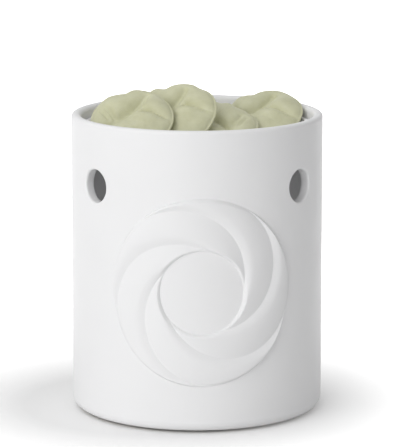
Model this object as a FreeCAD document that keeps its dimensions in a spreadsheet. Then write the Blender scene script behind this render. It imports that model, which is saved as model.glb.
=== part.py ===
"""Electric wax melt warmer: a glazed ceramic cylinder, a loose wax dish in its mouth and a small lamp below.

Frame: millimetres, +Z up, origin on the table at the middle of the object, the raised whirl facing -Y.
Azimuths are in degrees round +Z, zero at the front (-Y) and growing towards +X.
"""

import FreeCAD, Part
import math
import os
import re

import Sketcher
from FreeCAD import Placement, Rotation, Vector

UP = Vector(0, 0, 1)
ACROSS = Vector(1, 0, 0)

# Driving sizes, in millimetres, degrees, counts and shares
SIZES = {
    # Ceramic body
    "shell_radius": 50,
    "shell_wall": 4,
    "shell_top": 119,
    "foot_gap": 0.8,
    "foot_round": 4,
    "foot_ring_width": 6,
    "rim_outer_share": 0.4,
    "rim_inner_share": 0.5,
    "floor_thickness": 5,
    "floor_ring_share": 0.26,
    "ledge_width": 4.4,
    "ledge_tip": 1.6,
    "ledge_root": 2.4,
    "vent_radius": 6.5,
    "vent_drop": 24.5,
    "vent_azimuth": 53.1,
    # Whirl on the front
    "relief_radius": 37,
    "relief_centre_radius": 16.3,
    "relief_height": 56,
    "relief_azimuth": 1.65,
    "relief_rise": 2,
    "relief_valley_share": 0.3,
    "relief_crest_share": 0.3,
    "relief_root": 1,
    "relief_arms": 5,
    "relief_sweep": 140,
    "relief_even_share": 0.25,
    "relief_border_share": 0.125,
    # Wax dish
    "lip_drop": 4.2,
    "dish_height": 11,
    "dish_gap": 0.5,
    "dish_wall": 1.8,
    "dish_floor": 1.7,
    "dish_outer_round": 3,
    "dish_inner_round": 2.5,
    "lip_share": 0.4,
    # Wax melts, and the angles at which each lies
    "melt_radius_share": 0.3936,
    "melt_thickness_share": 0.494,
    "melt_outline_count": 48,
    "melt_end_share": 0.06,
    "left_tilt": 33.7, "left_lean": -15.8, "left_turn": 0,
    "centre_tilt": 35.2, "centre_lean": -21.5, "centre_turn": 0,
    "front_tilt": 20.8, "front_lean": -6.1, "front_turn": 0,
    "right_tilt": 24.9, "right_lean": -10.7, "right_turn": 0,
    "under_left_tilt": 14.8, "under_left_lean": -2.9, "under_left_turn": 200,
    "under_right_tilt": 8.1, "under_right_lean": 1.1, "under_right_turn": 140,
    # Base plate and what clamps it to the ceramic floor
    "plate_thickness": 1.2,
    "plate_gap": 0.5,
    "air_hole_radius": 2.5,
    "air_hole_margin": 0.8,
    "air_hole_count": 12,
    "screw_count": 3,
    "screw_radius": 2,
    "screw_clearance": 0.4,
    "screw_head_radius": 3.4,
    "screw_head_height": 1.6,
    "screw_end": 1,
    "washer_radius": 4.4,
    "washer_thickness": 0.8,
    "nut_across_flats": 7,
    "nut_height": 3.2,
    "foot_radius": 5,
    "foot_height": 3,
    "foot_margin": 1.5,
    "foot_count": 3,
    # Bracket, rivets, nipple and lock nut
    "strap_thickness": 1.2,
    "strap_width": 16,
    "strap_top_length": 26,
    "strap_foot_length": 9,
    "strap_height": 10,
    "rivet_radius": 1.6,
    "rivet_head_radius": 2.8,
    "rivet_head_height": 1,
    "nipple_radius": 5,
    "nipple_bore_radius": 3.5,
    "nipple_cover": 3,
    "nipple_below": 5,
    "lock_nut_across_flats": 14,
    "lock_nut_height": 3.2,
    # Lampholder
    "holder_radius": 12.5,
    "holder_height": 32,
    "well_depth": 23,
    "holder_round": 1.2,
    "thread_radius": 7.1,
    "thread_depth": 0.5,
    "thread_pitch": 2.8,
    "thread_turns": 6,
    "thread_sheet": 0.4,
    "thread_gap": 0.15,
    "contact_width": 4,
    "contact_length": 9,
    "contact_sheet": 0.5,
    "contact_rise": 2,
    "boss_width": 18,
    "boss_depth": 17,
    "boss_height": 10,
    "boss_drop": 7,
    "terminal_spacing": 11,
    "terminal_screw_radius": 1.7,
    "terminal_screw_height": 1.2,
    # Terminal block
    "block_width": 17,
    "block_depth": 7.6,
    "block_height": 12,
    "block_gap": 5,
    "block_screw_radius": 1.4,
    "block_head_radius": 2.6,
    "block_head_height": 1.6,
    "clamp_screw_radius": 1.5,
    "clamp_screw_height": 0.8,
    # Internal leads
    "lead_radius": 1.1,
    "lead_bend": 5,
    "lead_entry": 2,
    # Cord hole and grommet
    "cord_height": 17,
    "cord_hole_radius": 5,
    "grommet_bore_radius": 3.2,
    "grommet_flange": 2,
    "grommet_lip": 2,
    # Lamp
    "cap_radius": 6.8,
    "cap_sheet": 0.4,
    "cap_thread_depth": 0.4,
    "cap_collar": 2,
    "tip_radius": 2,
    "tip_height": 1,
    "insulator_radius": 4.6,
    "insulator_height": 2.2,
    "contact_gap": 0.2,
    "neck_radius": 6,
    "neck_height": 4,
    "shoulder_height": 9,
    "bulb_radius": 11,
    "bulb_straight": 14,
    "glass_wall": 0.6,
    "stem_radius": 2.4,
    "stem_height": 20,
    "wire_radius": 0.25,
    "wire_spread": 5,
    "wire_rise": 9,
    "filament_radius": 0.45,
    # How far every cutting tool runs past what it cuts
    "overrun": 1,
}

# Where the whirl's faces have their poles, along a crescent and across it
WHIRL_ALONG_SHARES = [0, 0.03, 0.07, 0.12, 0.2, 0.3, 0.4, 0.5, 0.6, 0.7, 0.8, 0.88, 0.93, 0.97, 1]
WHIRL_ACROSS_SHARES = [0, 0.1, 0.25, 0.4, 0.55, 0.7, 0.85, 0.93, 1]

# Dips in a melt's outline: place and width as shares of a full turn, depth as a share of the radius
MELT_OUTLINE_SHARES = [(0.375, 0.11, 0.085), (0.256, 0.018, 0.05), (0.64, 0.08, 0.08)]
# Folds in a melt's top: width as a share of the radius, depth as a share of the height, and a line of places
MELT_FOLD_SHARES = [
    (0.15, 0.5, [(-0.6, -0.12), (-0.35, -0.02), (-0.1, 0.1), (0.1, 0.2), (0.3, 0.4), (0.48, 0.62), (0.6, 0.8)]),
    (0.11, 0.36, [(0.3, 0.12), (0.42, 0.03), (0.6, -0.12), (0.75, -0.28), (0.92, -0.38)]),
    (0.05, 0.16, [(-0.62, 0.51), (-0.48, 0.16)]),
]
# Where each melt lies on the dish floor: its middle across, back and up as shares of its radius
MELT_PLACE_SHARES = {
    "left": (-1.4593, -0.6861, 0.6745),
    "centre": (-0.5, -0.3314, 0.7326),
    "front": (0.4535, -0.1512, 0.4419),
    "right": (1.4535, 0.686, 0.5349),
    "under_left": (-1.4186, 0.5756, 0.3605),
    "under_right": (-0.0116, 1.5349, 0.2849),
}
# Radii of a melt's rings of poles, from the middle of the underside out and back over the top
MELT_UNDER_SHARES = [0.35, 0.65, 0.85, 0.96]
MELT_TOP_SHARES = [1, 0.975, 0.92, 0.84, 0.74, 0.62, 0.49, 0.36, 0.23, 0.13]

doc = FreeCAD.newDocument("wax_melt_warmer")
sheet = doc.addObject("Spreadsheet::Sheet", "Sizes")
for row, (alias, number) in enumerate(SIZES.items(), start=1):
    sheet.set(f"A{row}", alias)
    sheet.set(f"B{row}", str(number))
    sheet.setAlias(f"B{row}", alias)
doc.recompute()

# Heights and radii that several pieces share, as formulas of the driving sizes
INNER = "(shell_radius - shell_wall)"
RECESS = "(shell_radius - foot_ring_width)"
OPENING = f"({INNER} * (1 - floor_ring_share))"
RING_MIDDLE = f"({INNER} * (1 - floor_ring_share / 2))"
PLATE_TOP = "(foot_height + plate_thickness)"
FLOOR_TOP = f"({PLATE_TOP} + floor_thickness)"
DISH_UNDER = "(shell_top - lip_drop - dish_height)"
DISH_OUTER = f"({INNER} - dish_gap)"
STRAP_TOP = f"({PLATE_TOP} + strap_height)"
HOLDER_TOP = f"({STRAP_TOP} + holder_height)"
WELL = f"({HOLDER_TOP} - well_depth)"
TIP = f"({WELL} + contact_sheet + contact_rise + contact_gap)"
CAP_UNDER = f"({TIP} + tip_height + insulator_height)"
CAP_TOP = f"({CAP_UNDER} + thread_pitch * (thread_turns - 1) + cap_collar)"
BLOCK_TOP = f"({PLATE_TOP} + block_height)"
BLOCK_PLACE = "(boss_depth + block_gap)"


def size(alias):
    """One driving size, read back from the sheet."""
    return float(sheet.get(alias))


def bound(formula):
    """A formula of size names, as an expression that reads the sheet."""
    return re.sub(r"[a-z][a-z_]+", lambda m: f"Sizes.{m[0]}" if m[0] in SIZES else m[0], formula)


def bind(thing, **formulas):
    """Bind properties of a document object, such as Radius or Height, to formulas."""
    for name, formula in formulas.items():
        thing.setExpression(name, bound(formula))
    return thing


def put(thing, x="0", y="0", z="0"):
    """Bind a document object's place to formulas."""
    for axis, formula in zip("xyz", (x, y, z)):
        if formula != "0":
            thing.setExpression(f"Placement.Base.{axis}", bound(formula))
    return thing


def add(kind, name, **formulas):
    return bind(doc.addObject(kind, name), **formulas)


def origin_plane(body, role):
    return next(part for part in body.Origin.OriginFeatures if part.Role == role)


def new_sketch(body, name, role):
    """A sketch on one of its own body's origin planes."""
    sketch = body.newObject("Sketcher::SketchObject", name)
    sketch.AttachmentSupport = [(origin_plane(body, role), "")]
    sketch.MapMode = "FlatFace"
    return sketch


def outline(sketch, points):
    """A closed outline of straight lines whose corners are bound to pairs of formulas."""
    count = len(points)
    turns = [2 * math.pi * place / count for place in range(count)]
    start = [Vector(math.cos(turn), math.sin(turn), 0) for turn in turns]
    sketch.addGeometry([Part.LineSegment(start[i], start[(i + 1) % count]) for i in range(count)])
    for i, corner in enumerate(points):
        sketch.addConstraint(Sketcher.Constraint("Coincident", i, 2, (i + 1) % count, 1))
        for kind, formula, axis, value in zip(("DistanceX", "DistanceY"), corner, (-2, -1), start[i]):
            if formula == "0":
                sketch.addConstraint(Sketcher.Constraint("PointOnObject", i, 1, axis))
            else:
                index = sketch.addConstraint(Sketcher.Constraint(kind, -1, 1, i, 1, value))
                sketch.setExpression(f"Constraints[{index}]", bound(formula))


def revolved(name, points):
    """A body turned about +Z from an outline of (radius, height) formulas."""
    body = doc.addObject("PartDesign::Body", name)
    sketch = new_sketch(body, f"{name}_profile", "XZ_Plane")
    outline(sketch, points)
    turn = body.newObject("PartDesign::Revolution", f"{name}_turn")
    turn.Profile = sketch
    turn.ReferenceAxis = (sketch, ["V_Axis"])
    turn.Angle = 360
    doc.recompute()
    return body


def ring_edges(shape, radius, height):
    """Names of the circular edges about +Z with this radius and height."""
    return [
        f"Edge{number}"
        for number, edge in enumerate(shape.Edges, start=1)
        if isinstance(edge.Curve, Part.Circle)
        and abs(edge.Curve.Radius - radius) < Part.Precision.approximation()
        and abs(edge.Curve.Center.z - height) < Part.Precision.approximation()
    ]


def rounded(body, name, formula, radius, height):
    """Round the circular edge of a turned body at a radius and a height."""
    base = (body.Tip, ring_edges(body.Shape, radius, height))
    fillet = body.newObject("PartDesign::Fillet", name)
    fillet.Base = base
    bind(fillet, Radius=formula)
    doc.recompute()


def cylinder(name, radius, height, x="0", y="0", z="0"):
    return put(add("Part::Cylinder", name, Radius=radius, Height=height), x, y, z)


def box(name, length, width, height, x="0", y="0", z="0"):
    """A box whose middle in X and Y is at x, y and whose underside is at z."""
    thing = add("Part::Box", name, Length=length, Width=width, Height=height)
    return put(thing, f"{x} - ({length}) / 2", f"{y} - ({width}) / 2", z)


def cut(name, base, *tools):
    """The base less every tool."""
    for number, tool in enumerate(tools, start=1):
        result = doc.addObject("Part::Cut", name if number == len(tools) else f"{name}_cut_{number}")
        result.Base = base
        result.Tool = tool
        base = result
    doc.recompute()
    return base


def fused(name, *pieces):
    result = doc.addObject("Part::MultiFuse", name)
    result.Shapes = list(pieces)
    result.Refine = True
    doc.recompute()
    return result


def outward(thing, azimuth):
    """Turn a cylinder so that its axis points level and outward at an azimuth."""
    thing.Placement.Rotation = Rotation(UP, azimuth) * Rotation(ACROSS, 90)
    return thing


def copies(name, template, places):
    """Equal pieces in one node: the template's shape at each placement."""
    group = doc.addObject("Part::Feature", name)
    group.Shape = Part.makeCompound([template.Shape.transformed(place.toMatrix()) for place in places])
    return group


def shifts(offsets):
    """Placements that only shift."""
    return [Placement(Vector(*offset), Rotation()) for offset in offsets]


def round_axis(count, first_azimuth):
    """Placements that turn a template about +Z, evenly, starting at an azimuth."""
    return [Placement(Vector(), Rotation(UP, first_azimuth + 360 * i / count)) for i in range(int(count))]


def feature(name, shape):
    thing = doc.addObject("Part::Feature", name)
    thing.Shape = shape
    return thing


# Whirl on the front


def whirl_point(way, phase, rise):
    """A point of the whirl, wrapped on the body: way runs 0..1 from the centre ring out along a spiral."""
    even_share = size("relief_even_share")
    eased = even_share * way + (1 - even_share) * (1 - math.cos(math.pi * way)) / 2
    span = size("relief_radius") - size("relief_centre_radius")
    radius = size("relief_centre_radius") + span * eased
    turn = math.radians(phase + size("relief_sweep") * way)
    azimuth = math.radians(size("relief_azimuth")) + radius * math.cos(turn) / size("shell_radius")
    out = size("shell_radius") + rise
    height = size("relief_height") + radius * math.sin(turn)
    return Vector(out * math.sin(azimuth), -out * math.cos(azimuth), height)


def whirl_rise(way, across):
    """Height over the wall; across runs 0..1 over one crescent from its outer edge to its inner edge."""
    crest = 1 - size("relief_crest_share")
    slope = across / crest if across < crest else (1 - across) / (1 - crest)
    ridge = math.sin(math.pi / 2 * slope)
    valley = size("relief_valley_share")
    border = min(1, way / size("relief_border_share"), (1 - way) / size("relief_border_share"))
    root = -size("relief_root") / 2
    top = size("relief_rise") * (valley + (1 - valley) * ridge)
    return root + (top - root) * math.sin(math.pi / 2 * border)


def spline_face(rows):
    """A face from rows of poles, cubic along each row and, given four rows or more, cubic across them."""

    def knots(count):
        degree = min(3, count - 1)
        inner = count - degree
        return degree, [degree + 1] + [1] * (inner - 1) + [degree + 1], [float(i) for i in range(inner + 1)]

    across_degree, across_mults, across_knots = knots(len(rows))
    degree, mults, knot_values = knots(len(rows[0]))
    surface = Part.BSplineSurface()
    surface.buildFromPolesMultsKnots(
        rows, across_mults, mults, across_knots, knot_values, False, False, across_degree, degree
    )
    return surface.toShape()


def whirl():
    """The whirl: even overlapping crescents, each a face that meets the next one at a sharp valley."""
    arms = int(size("relief_arms"))
    root = -size("relief_root")
    faces = []
    for arm in range(arms):
        phases = [360 / arms * (arm + across) for across in WHIRL_ACROSS_SHARES]
        top = [
            [whirl_point(way, phase, whirl_rise(way, across)) for way in WHIRL_ALONG_SHARES]
            for phase, across in zip(phases, WHIRL_ACROSS_SHARES)
        ]
        under = [[whirl_point(way, phase, root) for way in WHIRL_ALONG_SHARES] for phase in phases]
        faces += [spline_face(top), spline_face(under)]
        for end in (0, -1):
            faces.append(spline_face([[row[end] for row in top], [row[end] for row in under]]))
    skin = Part.makeShell(faces)
    skin.sewShape()
    return Part.makeSolid(skin)


# Ceramic body and dish


def ceramic_shell():
    """Body with its foot ring, floor ring, dish ledge, two vents, cord hole and whirl."""
    body = revolved(
        "shell_body",
        [
            (INNER, "shell_top"),
            ("shell_radius", "shell_top"),
            ("shell_radius", "foot_gap"),
            (RECESS, "foot_gap"),
            (RECESS, PLATE_TOP),
            (OPENING, PLATE_TOP),
            (OPENING, FLOOR_TOP),
            (INNER, FLOOR_TOP),
            (INNER, f"{DISH_UNDER} - ledge_root"),
            (f"{INNER} - ledge_width", f"{DISH_UNDER} - ledge_tip"),
            (f"{INNER} - ledge_width", DISH_UNDER),
            (INNER, DISH_UNDER),
        ],
    )
    outer = size("shell_radius")
    rounded(body, "rim_outer", "shell_wall * rim_outer_share", outer, size("shell_top"))
    rounded(body, "rim_inner", "shell_wall * rim_inner_share", outer - size("shell_wall"), size("shell_top"))
    rounded(body, "foot_edge", "foot_round", outer, size("foot_gap"))
    vents = [
        outward(
            cylinder(f"vent_{side}", "vent_radius", "shell_radius + overrun", z="shell_top - vent_drop"),
            turn * size("vent_azimuth"),
        )
        for side, turn in (("left", -1), ("right", 1))
    ]
    cord_hole = outward(
        cylinder("cord_hole", "cord_hole_radius", "shell_radius + overrun", z="cord_height"), 180
    )
    bore = "screw_radius + screw_clearance"
    middle = cylinder("screw_hole", bore, f"{FLOOR_TOP} + overrun", y=f"-{RING_MIDDLE}")
    doc.recompute()
    screw_holes = copies("screw_holes", middle, round_axis(size("screw_count"), 0))
    pierced = cut("shell_pierced", body, *vents, cord_hole, screw_holes)
    return fused("ceramic_shell", pierced, feature("whirl", whirl()))


def wax_dish():
    """Loose pan that stands on the ledge, its lip just under the rim."""
    wall = f"({DISH_OUTER} - dish_wall)"
    lip = f"({DISH_UNDER} + dish_height)"
    floor = f"({DISH_UNDER} + dish_floor)"
    body = revolved(
        "wax_dish",
        [
            ("0", DISH_UNDER),
            (DISH_OUTER, DISH_UNDER),
            (DISH_OUTER, lip),
            (wall, lip),
            (wall, floor),
            ("0", floor),
        ],
    )
    outer = size("shell_radius") - size("shell_wall") - size("dish_gap")
    inner = outer - size("dish_wall")
    top = size("shell_top") - size("lip_drop")
    under = top - size("dish_height")
    rounded(body, "lip_outer", "dish_wall * lip_share", outer, top)
    rounded(body, "lip_inner", "dish_wall * lip_share", inner, top)
    rounded(body, "pan_outer", "dish_outer_round", outer, under)
    rounded(body, "pan_inner", "dish_inner_round", inner, under + size("dish_floor"))
    return body


# Wax melts


def melt_radius():
    """The melts are moulded to fit six to a dish."""
    pan = size("shell_radius") - size("shell_wall") - size("dish_gap") - size("dish_wall")
    return pan * size("melt_radius_share")


def melt_reach_share(turn):
    """Radius of a melt's outline at a turn round it: a dip on one side with a sharper notch in it."""
    reach = 1
    for place, width, dip in MELT_OUTLINE_SHARES:
        gap = turn / (2 * math.pi) - place
        reach -= dip * math.exp(-(((gap - round(gap)) / width) ** 2))
    return reach


def off_line(point, line):
    """Distance of a point from a line of straight runs, as (x, y) pairs."""
    gaps = []
    for (ax, ay), (bx, by) in zip(line, line[1:]):
        along = (point[0] - ax) * (bx - ax) + (point[1] - ay) * (by - ay)
        along /= (bx - ax) ** 2 + (by - ay) ** 2
        along = min(1, max(0, along))
        gaps.append(math.hypot(point[0] - ax - along * (bx - ax), point[1] - ay - along * (by - ay)))
    return min(gaps)


def melt_crown_share(x, y, radius_share):
    """Height of a melt's top as a share: a dome with folds pressed into it."""
    dome = math.sqrt(max(0, 1 - radius_share**2))
    fold = sum(
        depth * math.exp(-((off_line((x, y), line) / width) ** 2)) for width, depth, line in MELT_FOLD_SHARES
    )
    return dome * max(0, 1 - fold)


def melt_ring(radius_share, height_share):
    """Poles of one ring of a melt: heights are shares of the half thickness, None for the folded top."""
    radius = melt_radius()
    half = radius * size("melt_thickness_share") / 2
    count = int(size("melt_outline_count"))
    poles = []
    for step in range(count):
        turn = 2 * math.pi * step / count
        reach = melt_reach_share(turn) * radius_share
        x, y = reach * math.cos(turn), reach * math.sin(turn)
        rise = melt_crown_share(x, y, radius_share) if height_share is None else height_share
        poles.append(Vector(radius * x, radius * y, half * rise))
    return poles


def melt():
    """A moulded melt: a plump round with a domed underside and a top that three folds run into."""
    end_share = size("melt_end_share")
    rings = [melt_ring(end_share, -1)]
    rings += [melt_ring(share, -math.sqrt(1 - share**2)) for share in MELT_UNDER_SHARES]
    rings += [melt_ring(share, None) for share in MELT_TOP_SHARES]
    rings.append(melt_ring(end_share, melt_crown_share(0, 0, 0)))
    degree = 3
    spans = len(rings) - degree
    surface = Part.BSplineSurface()
    surface.buildFromPolesMultsKnots(
        rings,
        [degree + 1] + [1] * (spans - 1) + [degree + 1],
        [1] * (len(rings[0]) + 1),
        [float(i) for i in range(spans + 1)],
        [float(i) for i in range(len(rings[0]) + 1)],
        False, True, degree, degree,
    )
    ends = [Part.Face(Part.Wire([surface.uIso(end).toShape()])) for end in (0, spans)]
    closed = Part.makeShell([surface.toShape()] + ends)
    closed.sewShape()
    return Part.makeSolid(closed)


def place_melts():
    """The pile: two melts lie at the back of the dish and carry four that lean on each other."""
    floor = size("shell_top") - size("lip_drop") - size("dish_height") + size("dish_floor")
    plain = melt()
    mirrored = plain.mirror(Vector(), ACROSS)
    radius = melt_radius()
    melts = []
    for place, (across_share, back_share, up_share) in MELT_PLACE_SHARES.items():
        thing = feature(f"wax_melt_{place}", mirrored if place == "front" else plain)
        lean = Rotation(Vector(0, 1, 0), size(f"{place}_lean")) * Rotation(ACROSS, size(f"{place}_tilt"))
        middle = Vector(radius * across_share, radius * back_share, floor + radius * up_share)
        thing.Placement = Placement(middle, lean * Rotation(UP, size(f"{place}_turn")))
        melts.append(thing)
    return melts


# Base plate, feet and fixings


def base_plate():
    """Pressed disc under the ceramic floor with air holes, screw holes, rivet holes and the block's hole."""
    body = doc.addObject("PartDesign::Body", "base_plate")
    sketch = new_sketch(body, "plate_outline", "XY_Plane")
    sketch.AttachmentOffset = Placement(Vector(0, 0, size("foot_height")), Rotation())
    bind(sketch, **{"AttachmentOffset.Base.z": "foot_height"})
    edge = sketch.addGeometry(Part.Circle(Vector(), UP, 1))
    sketch.addConstraint(Sketcher.Constraint("Coincident", edge, 3, -1, 1))
    index = sketch.addConstraint(Sketcher.Constraint("Radius", edge, 1))
    sketch.setExpression(f"Constraints[{index}]", bound(f"{RECESS} - plate_gap"))
    pad = body.newObject("PartDesign::Pad", "plate_disc")
    pad.Profile = sketch
    bind(pad, Length="plate_thickness")
    doc.recompute()

    def holes(name, radius, x, y, count):
        """Round holes through the plate: one at (x, y), repeated evenly round the axis."""
        hole = new_sketch(body, f"{name}_sketch", "XY_Plane")
        rim = hole.addGeometry(Part.Circle(Vector(1, 1, 0), UP, 1))
        for kind, formula, axis in (("DistanceX", x, -2), ("DistanceY", y, -1)):
            if formula == "0":
                hole.addConstraint(Sketcher.Constraint("PointOnObject", rim, 3, axis))
            else:
                place = hole.addConstraint(Sketcher.Constraint(kind, -1, 1, rim, 3, 1))
                hole.setExpression(f"Constraints[{place}]", bound(formula))
        width = hole.addConstraint(Sketcher.Constraint("Radius", rim, 1))
        hole.setExpression(f"Constraints[{width}]", bound(radius))
        pocket = body.newObject("PartDesign::Pocket", name)
        pocket.Profile = hole
        pocket.Type = "ThroughAll"
        pocket.Midplane = True
        doc.recompute()
        if count != "1":
            pattern = body.newObject("PartDesign::PolarPattern", f"{name}_pattern")
            pattern.Originals = [pocket]
            pattern.Axis = (hole, ["N_Axis"])
            pattern.Angle = 360
            bind(pattern, Occurrences=count)
            body.Tip = pattern
            doc.recompute()

    air_ring = f"({OPENING} - air_hole_margin - air_hole_radius)"
    half_pitch = "(180deg / air_hole_count)"
    holes(
        "air_holes", "air_hole_radius",
        f"{air_ring} * sin({half_pitch})", f"{air_ring} * cos({half_pitch})", "air_hole_count",
    )
    holes("plate_screw_holes", "screw_radius + screw_clearance", "0", f"-{RING_MIDDLE}", "screw_count")
    holes("rivet_holes", "rivet_radius", "strap_top_length / 2 + strap_foot_length / 2", "0", "2")
    holes("block_hole", "block_screw_radius", "0", BLOCK_PLACE, "1")
    return body


def hexagon(name, across_flats, height, z):
    """A hexagonal prism on the axis."""
    return put(add("Part::Prism", name, Circumradius=f"{across_flats} / sqrt(3)", Height=height), z=z)


def fixings():
    """Screws from below through plate and floor, each with a fibre washer and a nut on the ceramic."""
    ring = f"-{RING_MIDDLE}"
    nut_under = f"({FLOOR_TOP} + washer_thickness)"
    head = cylinder(
        "screw_head", "screw_head_radius", "screw_head_height", y=ring, z="foot_height - screw_head_height"
    )
    length = f"{nut_under} + nut_height + screw_end - foot_height"
    shank = cylinder("screw_shank", "screw_radius", length, y=ring, z="foot_height")
    washer_bore = cylinder(
        "washer_bore", "screw_radius + screw_clearance", "washer_thickness + 2 * overrun",
        y=ring, z=f"{FLOOR_TOP} - overrun",
    )
    washer_disc = cylinder("washer_disc", "washer_radius", "washer_thickness", y=ring, z=FLOOR_TOP)
    nut_body = put(hexagon("nut_body", "nut_across_flats", "nut_height", nut_under), y=ring)
    nut_bore = cylinder(
        "nut_bore", "screw_radius", "nut_height + 2 * overrun", y=ring, z=f"{nut_under} - overrun"
    )
    around = round_axis(size("screw_count"), 0)
    foot = cylinder(
        "foot", "foot_radius", "foot_height", y=f"-({RECESS} - plate_gap - foot_margin - foot_radius)"
    )
    screw = fused("screw", head, shank)
    washer = cut("washer", washer_disc, washer_bore)
    nut = cut("nut", nut_body, nut_bore)
    return [
        copies("base_screws", screw, around),
        copies("fibre_washers", washer, around),
        copies("base_nuts", nut, around),
        copies("rubber_feet", foot, round_axis(size("foot_count"), 180 / size("foot_count"))),
    ]


def bracket():
    """Hat-shaped strap that is riveted to the plate and carries the lampholder."""
    body = doc.addObject("PartDesign::Body", "strap")
    sketch = new_sketch(body, "strap_profile", "XZ_Plane")
    inner = "(strap_top_length / 2 - strap_thickness)"
    right = [
        ("strap_top_length / 2 + strap_foot_length", PLATE_TOP),
        ("strap_top_length / 2 + strap_foot_length", f"{PLATE_TOP} + strap_thickness"),
        ("strap_top_length / 2", f"{PLATE_TOP} + strap_thickness"),
        ("strap_top_length / 2", STRAP_TOP),
    ]
    under = [(inner, f"{STRAP_TOP} - strap_thickness"), (inner, PLATE_TOP)]
    left = [(f"-({x})", z) for x, z in reversed(right)]
    left_under = [(f"-({x})", z) for x, z in reversed(under)]
    outline(sketch, right + left + left_under + under)
    pad = body.newObject("PartDesign::Pad", "strap_pad")
    pad.Profile = sketch
    pad.Midplane = True
    bind(pad, Length="strap_width")
    doc.recompute()
    middle = "(strap_top_length / 2 + strap_foot_length / 2)"
    tools = [cylinder("nipple_hole", "nipple_radius", f"{STRAP_TOP} + overrun")]
    for side, sign in (("left", "-"), ("right", "")):
        tools.append(cylinder(f"strap_rivet_hole_{side}", "rivet_radius", STRAP_TOP, x=f"{sign}{middle}"))
    return cut("socket_bracket", body, *tools)


def rivets():
    """Two rivets with flat heads above the strap and below the plate."""
    middle = size("strap_top_length") / 2 + size("strap_foot_length") / 2
    low = "(foot_height - rivet_head_height)"
    high = f"({PLATE_TOP} + strap_thickness)"
    rivet = revolved(
        "rivet",
        [
            ("0", low),
            ("rivet_head_radius", low),
            ("rivet_head_radius", "foot_height"),
            ("rivet_radius", "foot_height"),
            ("rivet_radius", high),
            ("rivet_head_radius", high),
            ("rivet_head_radius", f"{high} + rivet_head_height"),
            ("0", f"{high} + rivet_head_height"),
        ],
    )
    return copies("bracket_rivets", rivet, shifts([(-middle, 0, 0), (middle, 0, 0)]))


def nipple_and_nut():
    """Hollow threaded tube through the strap, and the lock nut under it."""
    low = f"({STRAP_TOP} - strap_thickness - nipple_below)"
    high = f"({WELL} - nipple_cover)"
    tube = revolved(
        "socket_nipple",
        [
            ("nipple_bore_radius", low), ("nipple_radius", low),
            ("nipple_radius", high), ("nipple_bore_radius", high),
        ],
    )
    under = f"({STRAP_TOP} - strap_thickness - lock_nut_height)"
    nut = cut(
        "nipple_nut",
        hexagon("lock_nut_body", "lock_nut_across_flats", "lock_nut_height", under),
        cylinder("lock_nut_bore", "nipple_radius", "lock_nut_height + 2 * overrun", z=f"{under} - overrun"),
    )
    return [tube, nut]


# Lampholder


def holder_housing():
    """Moulded round housing with a well for the lamp and a terminal boss at the back."""
    well_radius = "(thread_radius + thread_depth + thread_sheet + thread_gap)"
    socket = f"({WELL} - nipple_cover)"
    body = revolved(
        "housing_body",
        [
            ("0", socket),
            ("nipple_radius", socket),
            ("nipple_radius", STRAP_TOP),
            ("holder_radius", STRAP_TOP),
            ("holder_radius", HOLDER_TOP),
            (well_radius, HOLDER_TOP),
            (well_radius, WELL),
            ("0", WELL),
        ],
    )
    top = size("foot_height") + size("plate_thickness") + size("strap_height") + size("holder_height")
    rounded(body, "housing_round", "holder_round", size("holder_radius"), top)
    boss_under = f"({HOLDER_TOP} - boss_drop - boss_height)"
    boss = box(
        "boss_block", "boss_width", "boss_depth - holder_radius / 2", "boss_height",
        y="boss_depth / 2 + holder_radius / 4", z=boss_under,
    )
    inside = cylinder("boss_clear", f"{well_radius}", HOLDER_TOP, z=WELL)
    fit = cut("boss_fit", boss, inside)
    holes = []
    for side, sign in (("left", "-"), ("right", "")):
        hole = cylinder(
            f"wire_hole_{side}", "lead_radius", "lead_entry + overrun",
            x=f"{sign}terminal_spacing / 2", y="boss_depth - lead_entry", z=f"{boss_under} + boss_height / 2",
        )
        holes.append(outward(hole, 180))
    return cut("lampholder_housing", fused("housing_solid", body, fit), *holes)


def thread(radius, depth, under, turns):
    """Zigzag corners of a rolled thread as rings: crest and root once a turn, going up."""
    return [
        (f"{radius} - {depth} * {step % 2}", f"{under} + thread_pitch / 2 * {step}")
        for step in range(2 * turns + 1)
    ]


def screw_shell():
    """The lampholder's rolled brass shell."""
    turns = int(size("thread_turns"))
    outer = thread("(thread_radius + thread_depth + thread_sheet)", "thread_depth", WELL, turns)
    inner = thread("(thread_radius + thread_depth)", "thread_depth", WELL, turns)
    return revolved("screw_shell", outer + inner[::-1])


def centre_contact():
    """Sprung strip on the floor of the well whose free end rises to the lamp's tip."""
    body = doc.addObject("PartDesign::Body", "centre_contact")
    sketch = new_sketch(body, "contact_profile", "XZ_Plane")
    half = "contact_length / 2"
    outline(
        sketch,
        [
            (f"-({half})", WELL),
            (half, WELL),
            (half, f"{WELL} + contact_sheet"),
            (f"-({half}) + contact_sheet", f"{WELL} + contact_sheet"),
            ("-(contact_sheet)", f"{WELL} + contact_rise"),
            ("contact_length / 4", f"{WELL} + contact_rise"),
            ("contact_length / 4", f"{WELL} + contact_rise + contact_sheet"),
            ("-(contact_sheet)", f"{WELL} + contact_rise + contact_sheet"),
            (f"-({half})", f"{WELL} + contact_sheet"),
        ],
    )
    pad = body.newObject("PartDesign::Pad", "contact_pad")
    pad.Profile = sketch
    pad.Midplane = True
    bind(pad, Length="contact_width")
    doc.recompute()
    return body


def terminal_screws():
    """Two screws on top of the terminal boss."""
    top = size("foot_height") + size("plate_thickness") + size("strap_height") + size("holder_height")
    seat = top - size("boss_drop")
    template = cylinder("terminal_screw", "terminal_screw_radius", "terminal_screw_height")
    doc.recompute()
    back = (size("holder_radius") + size("boss_depth")) / 2
    places = [(side * size("terminal_spacing") / 2, back, seat) for side in (-1, 1)]
    return copies("terminal_screws", template, shifts(places))


# Terminal block and leads


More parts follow.
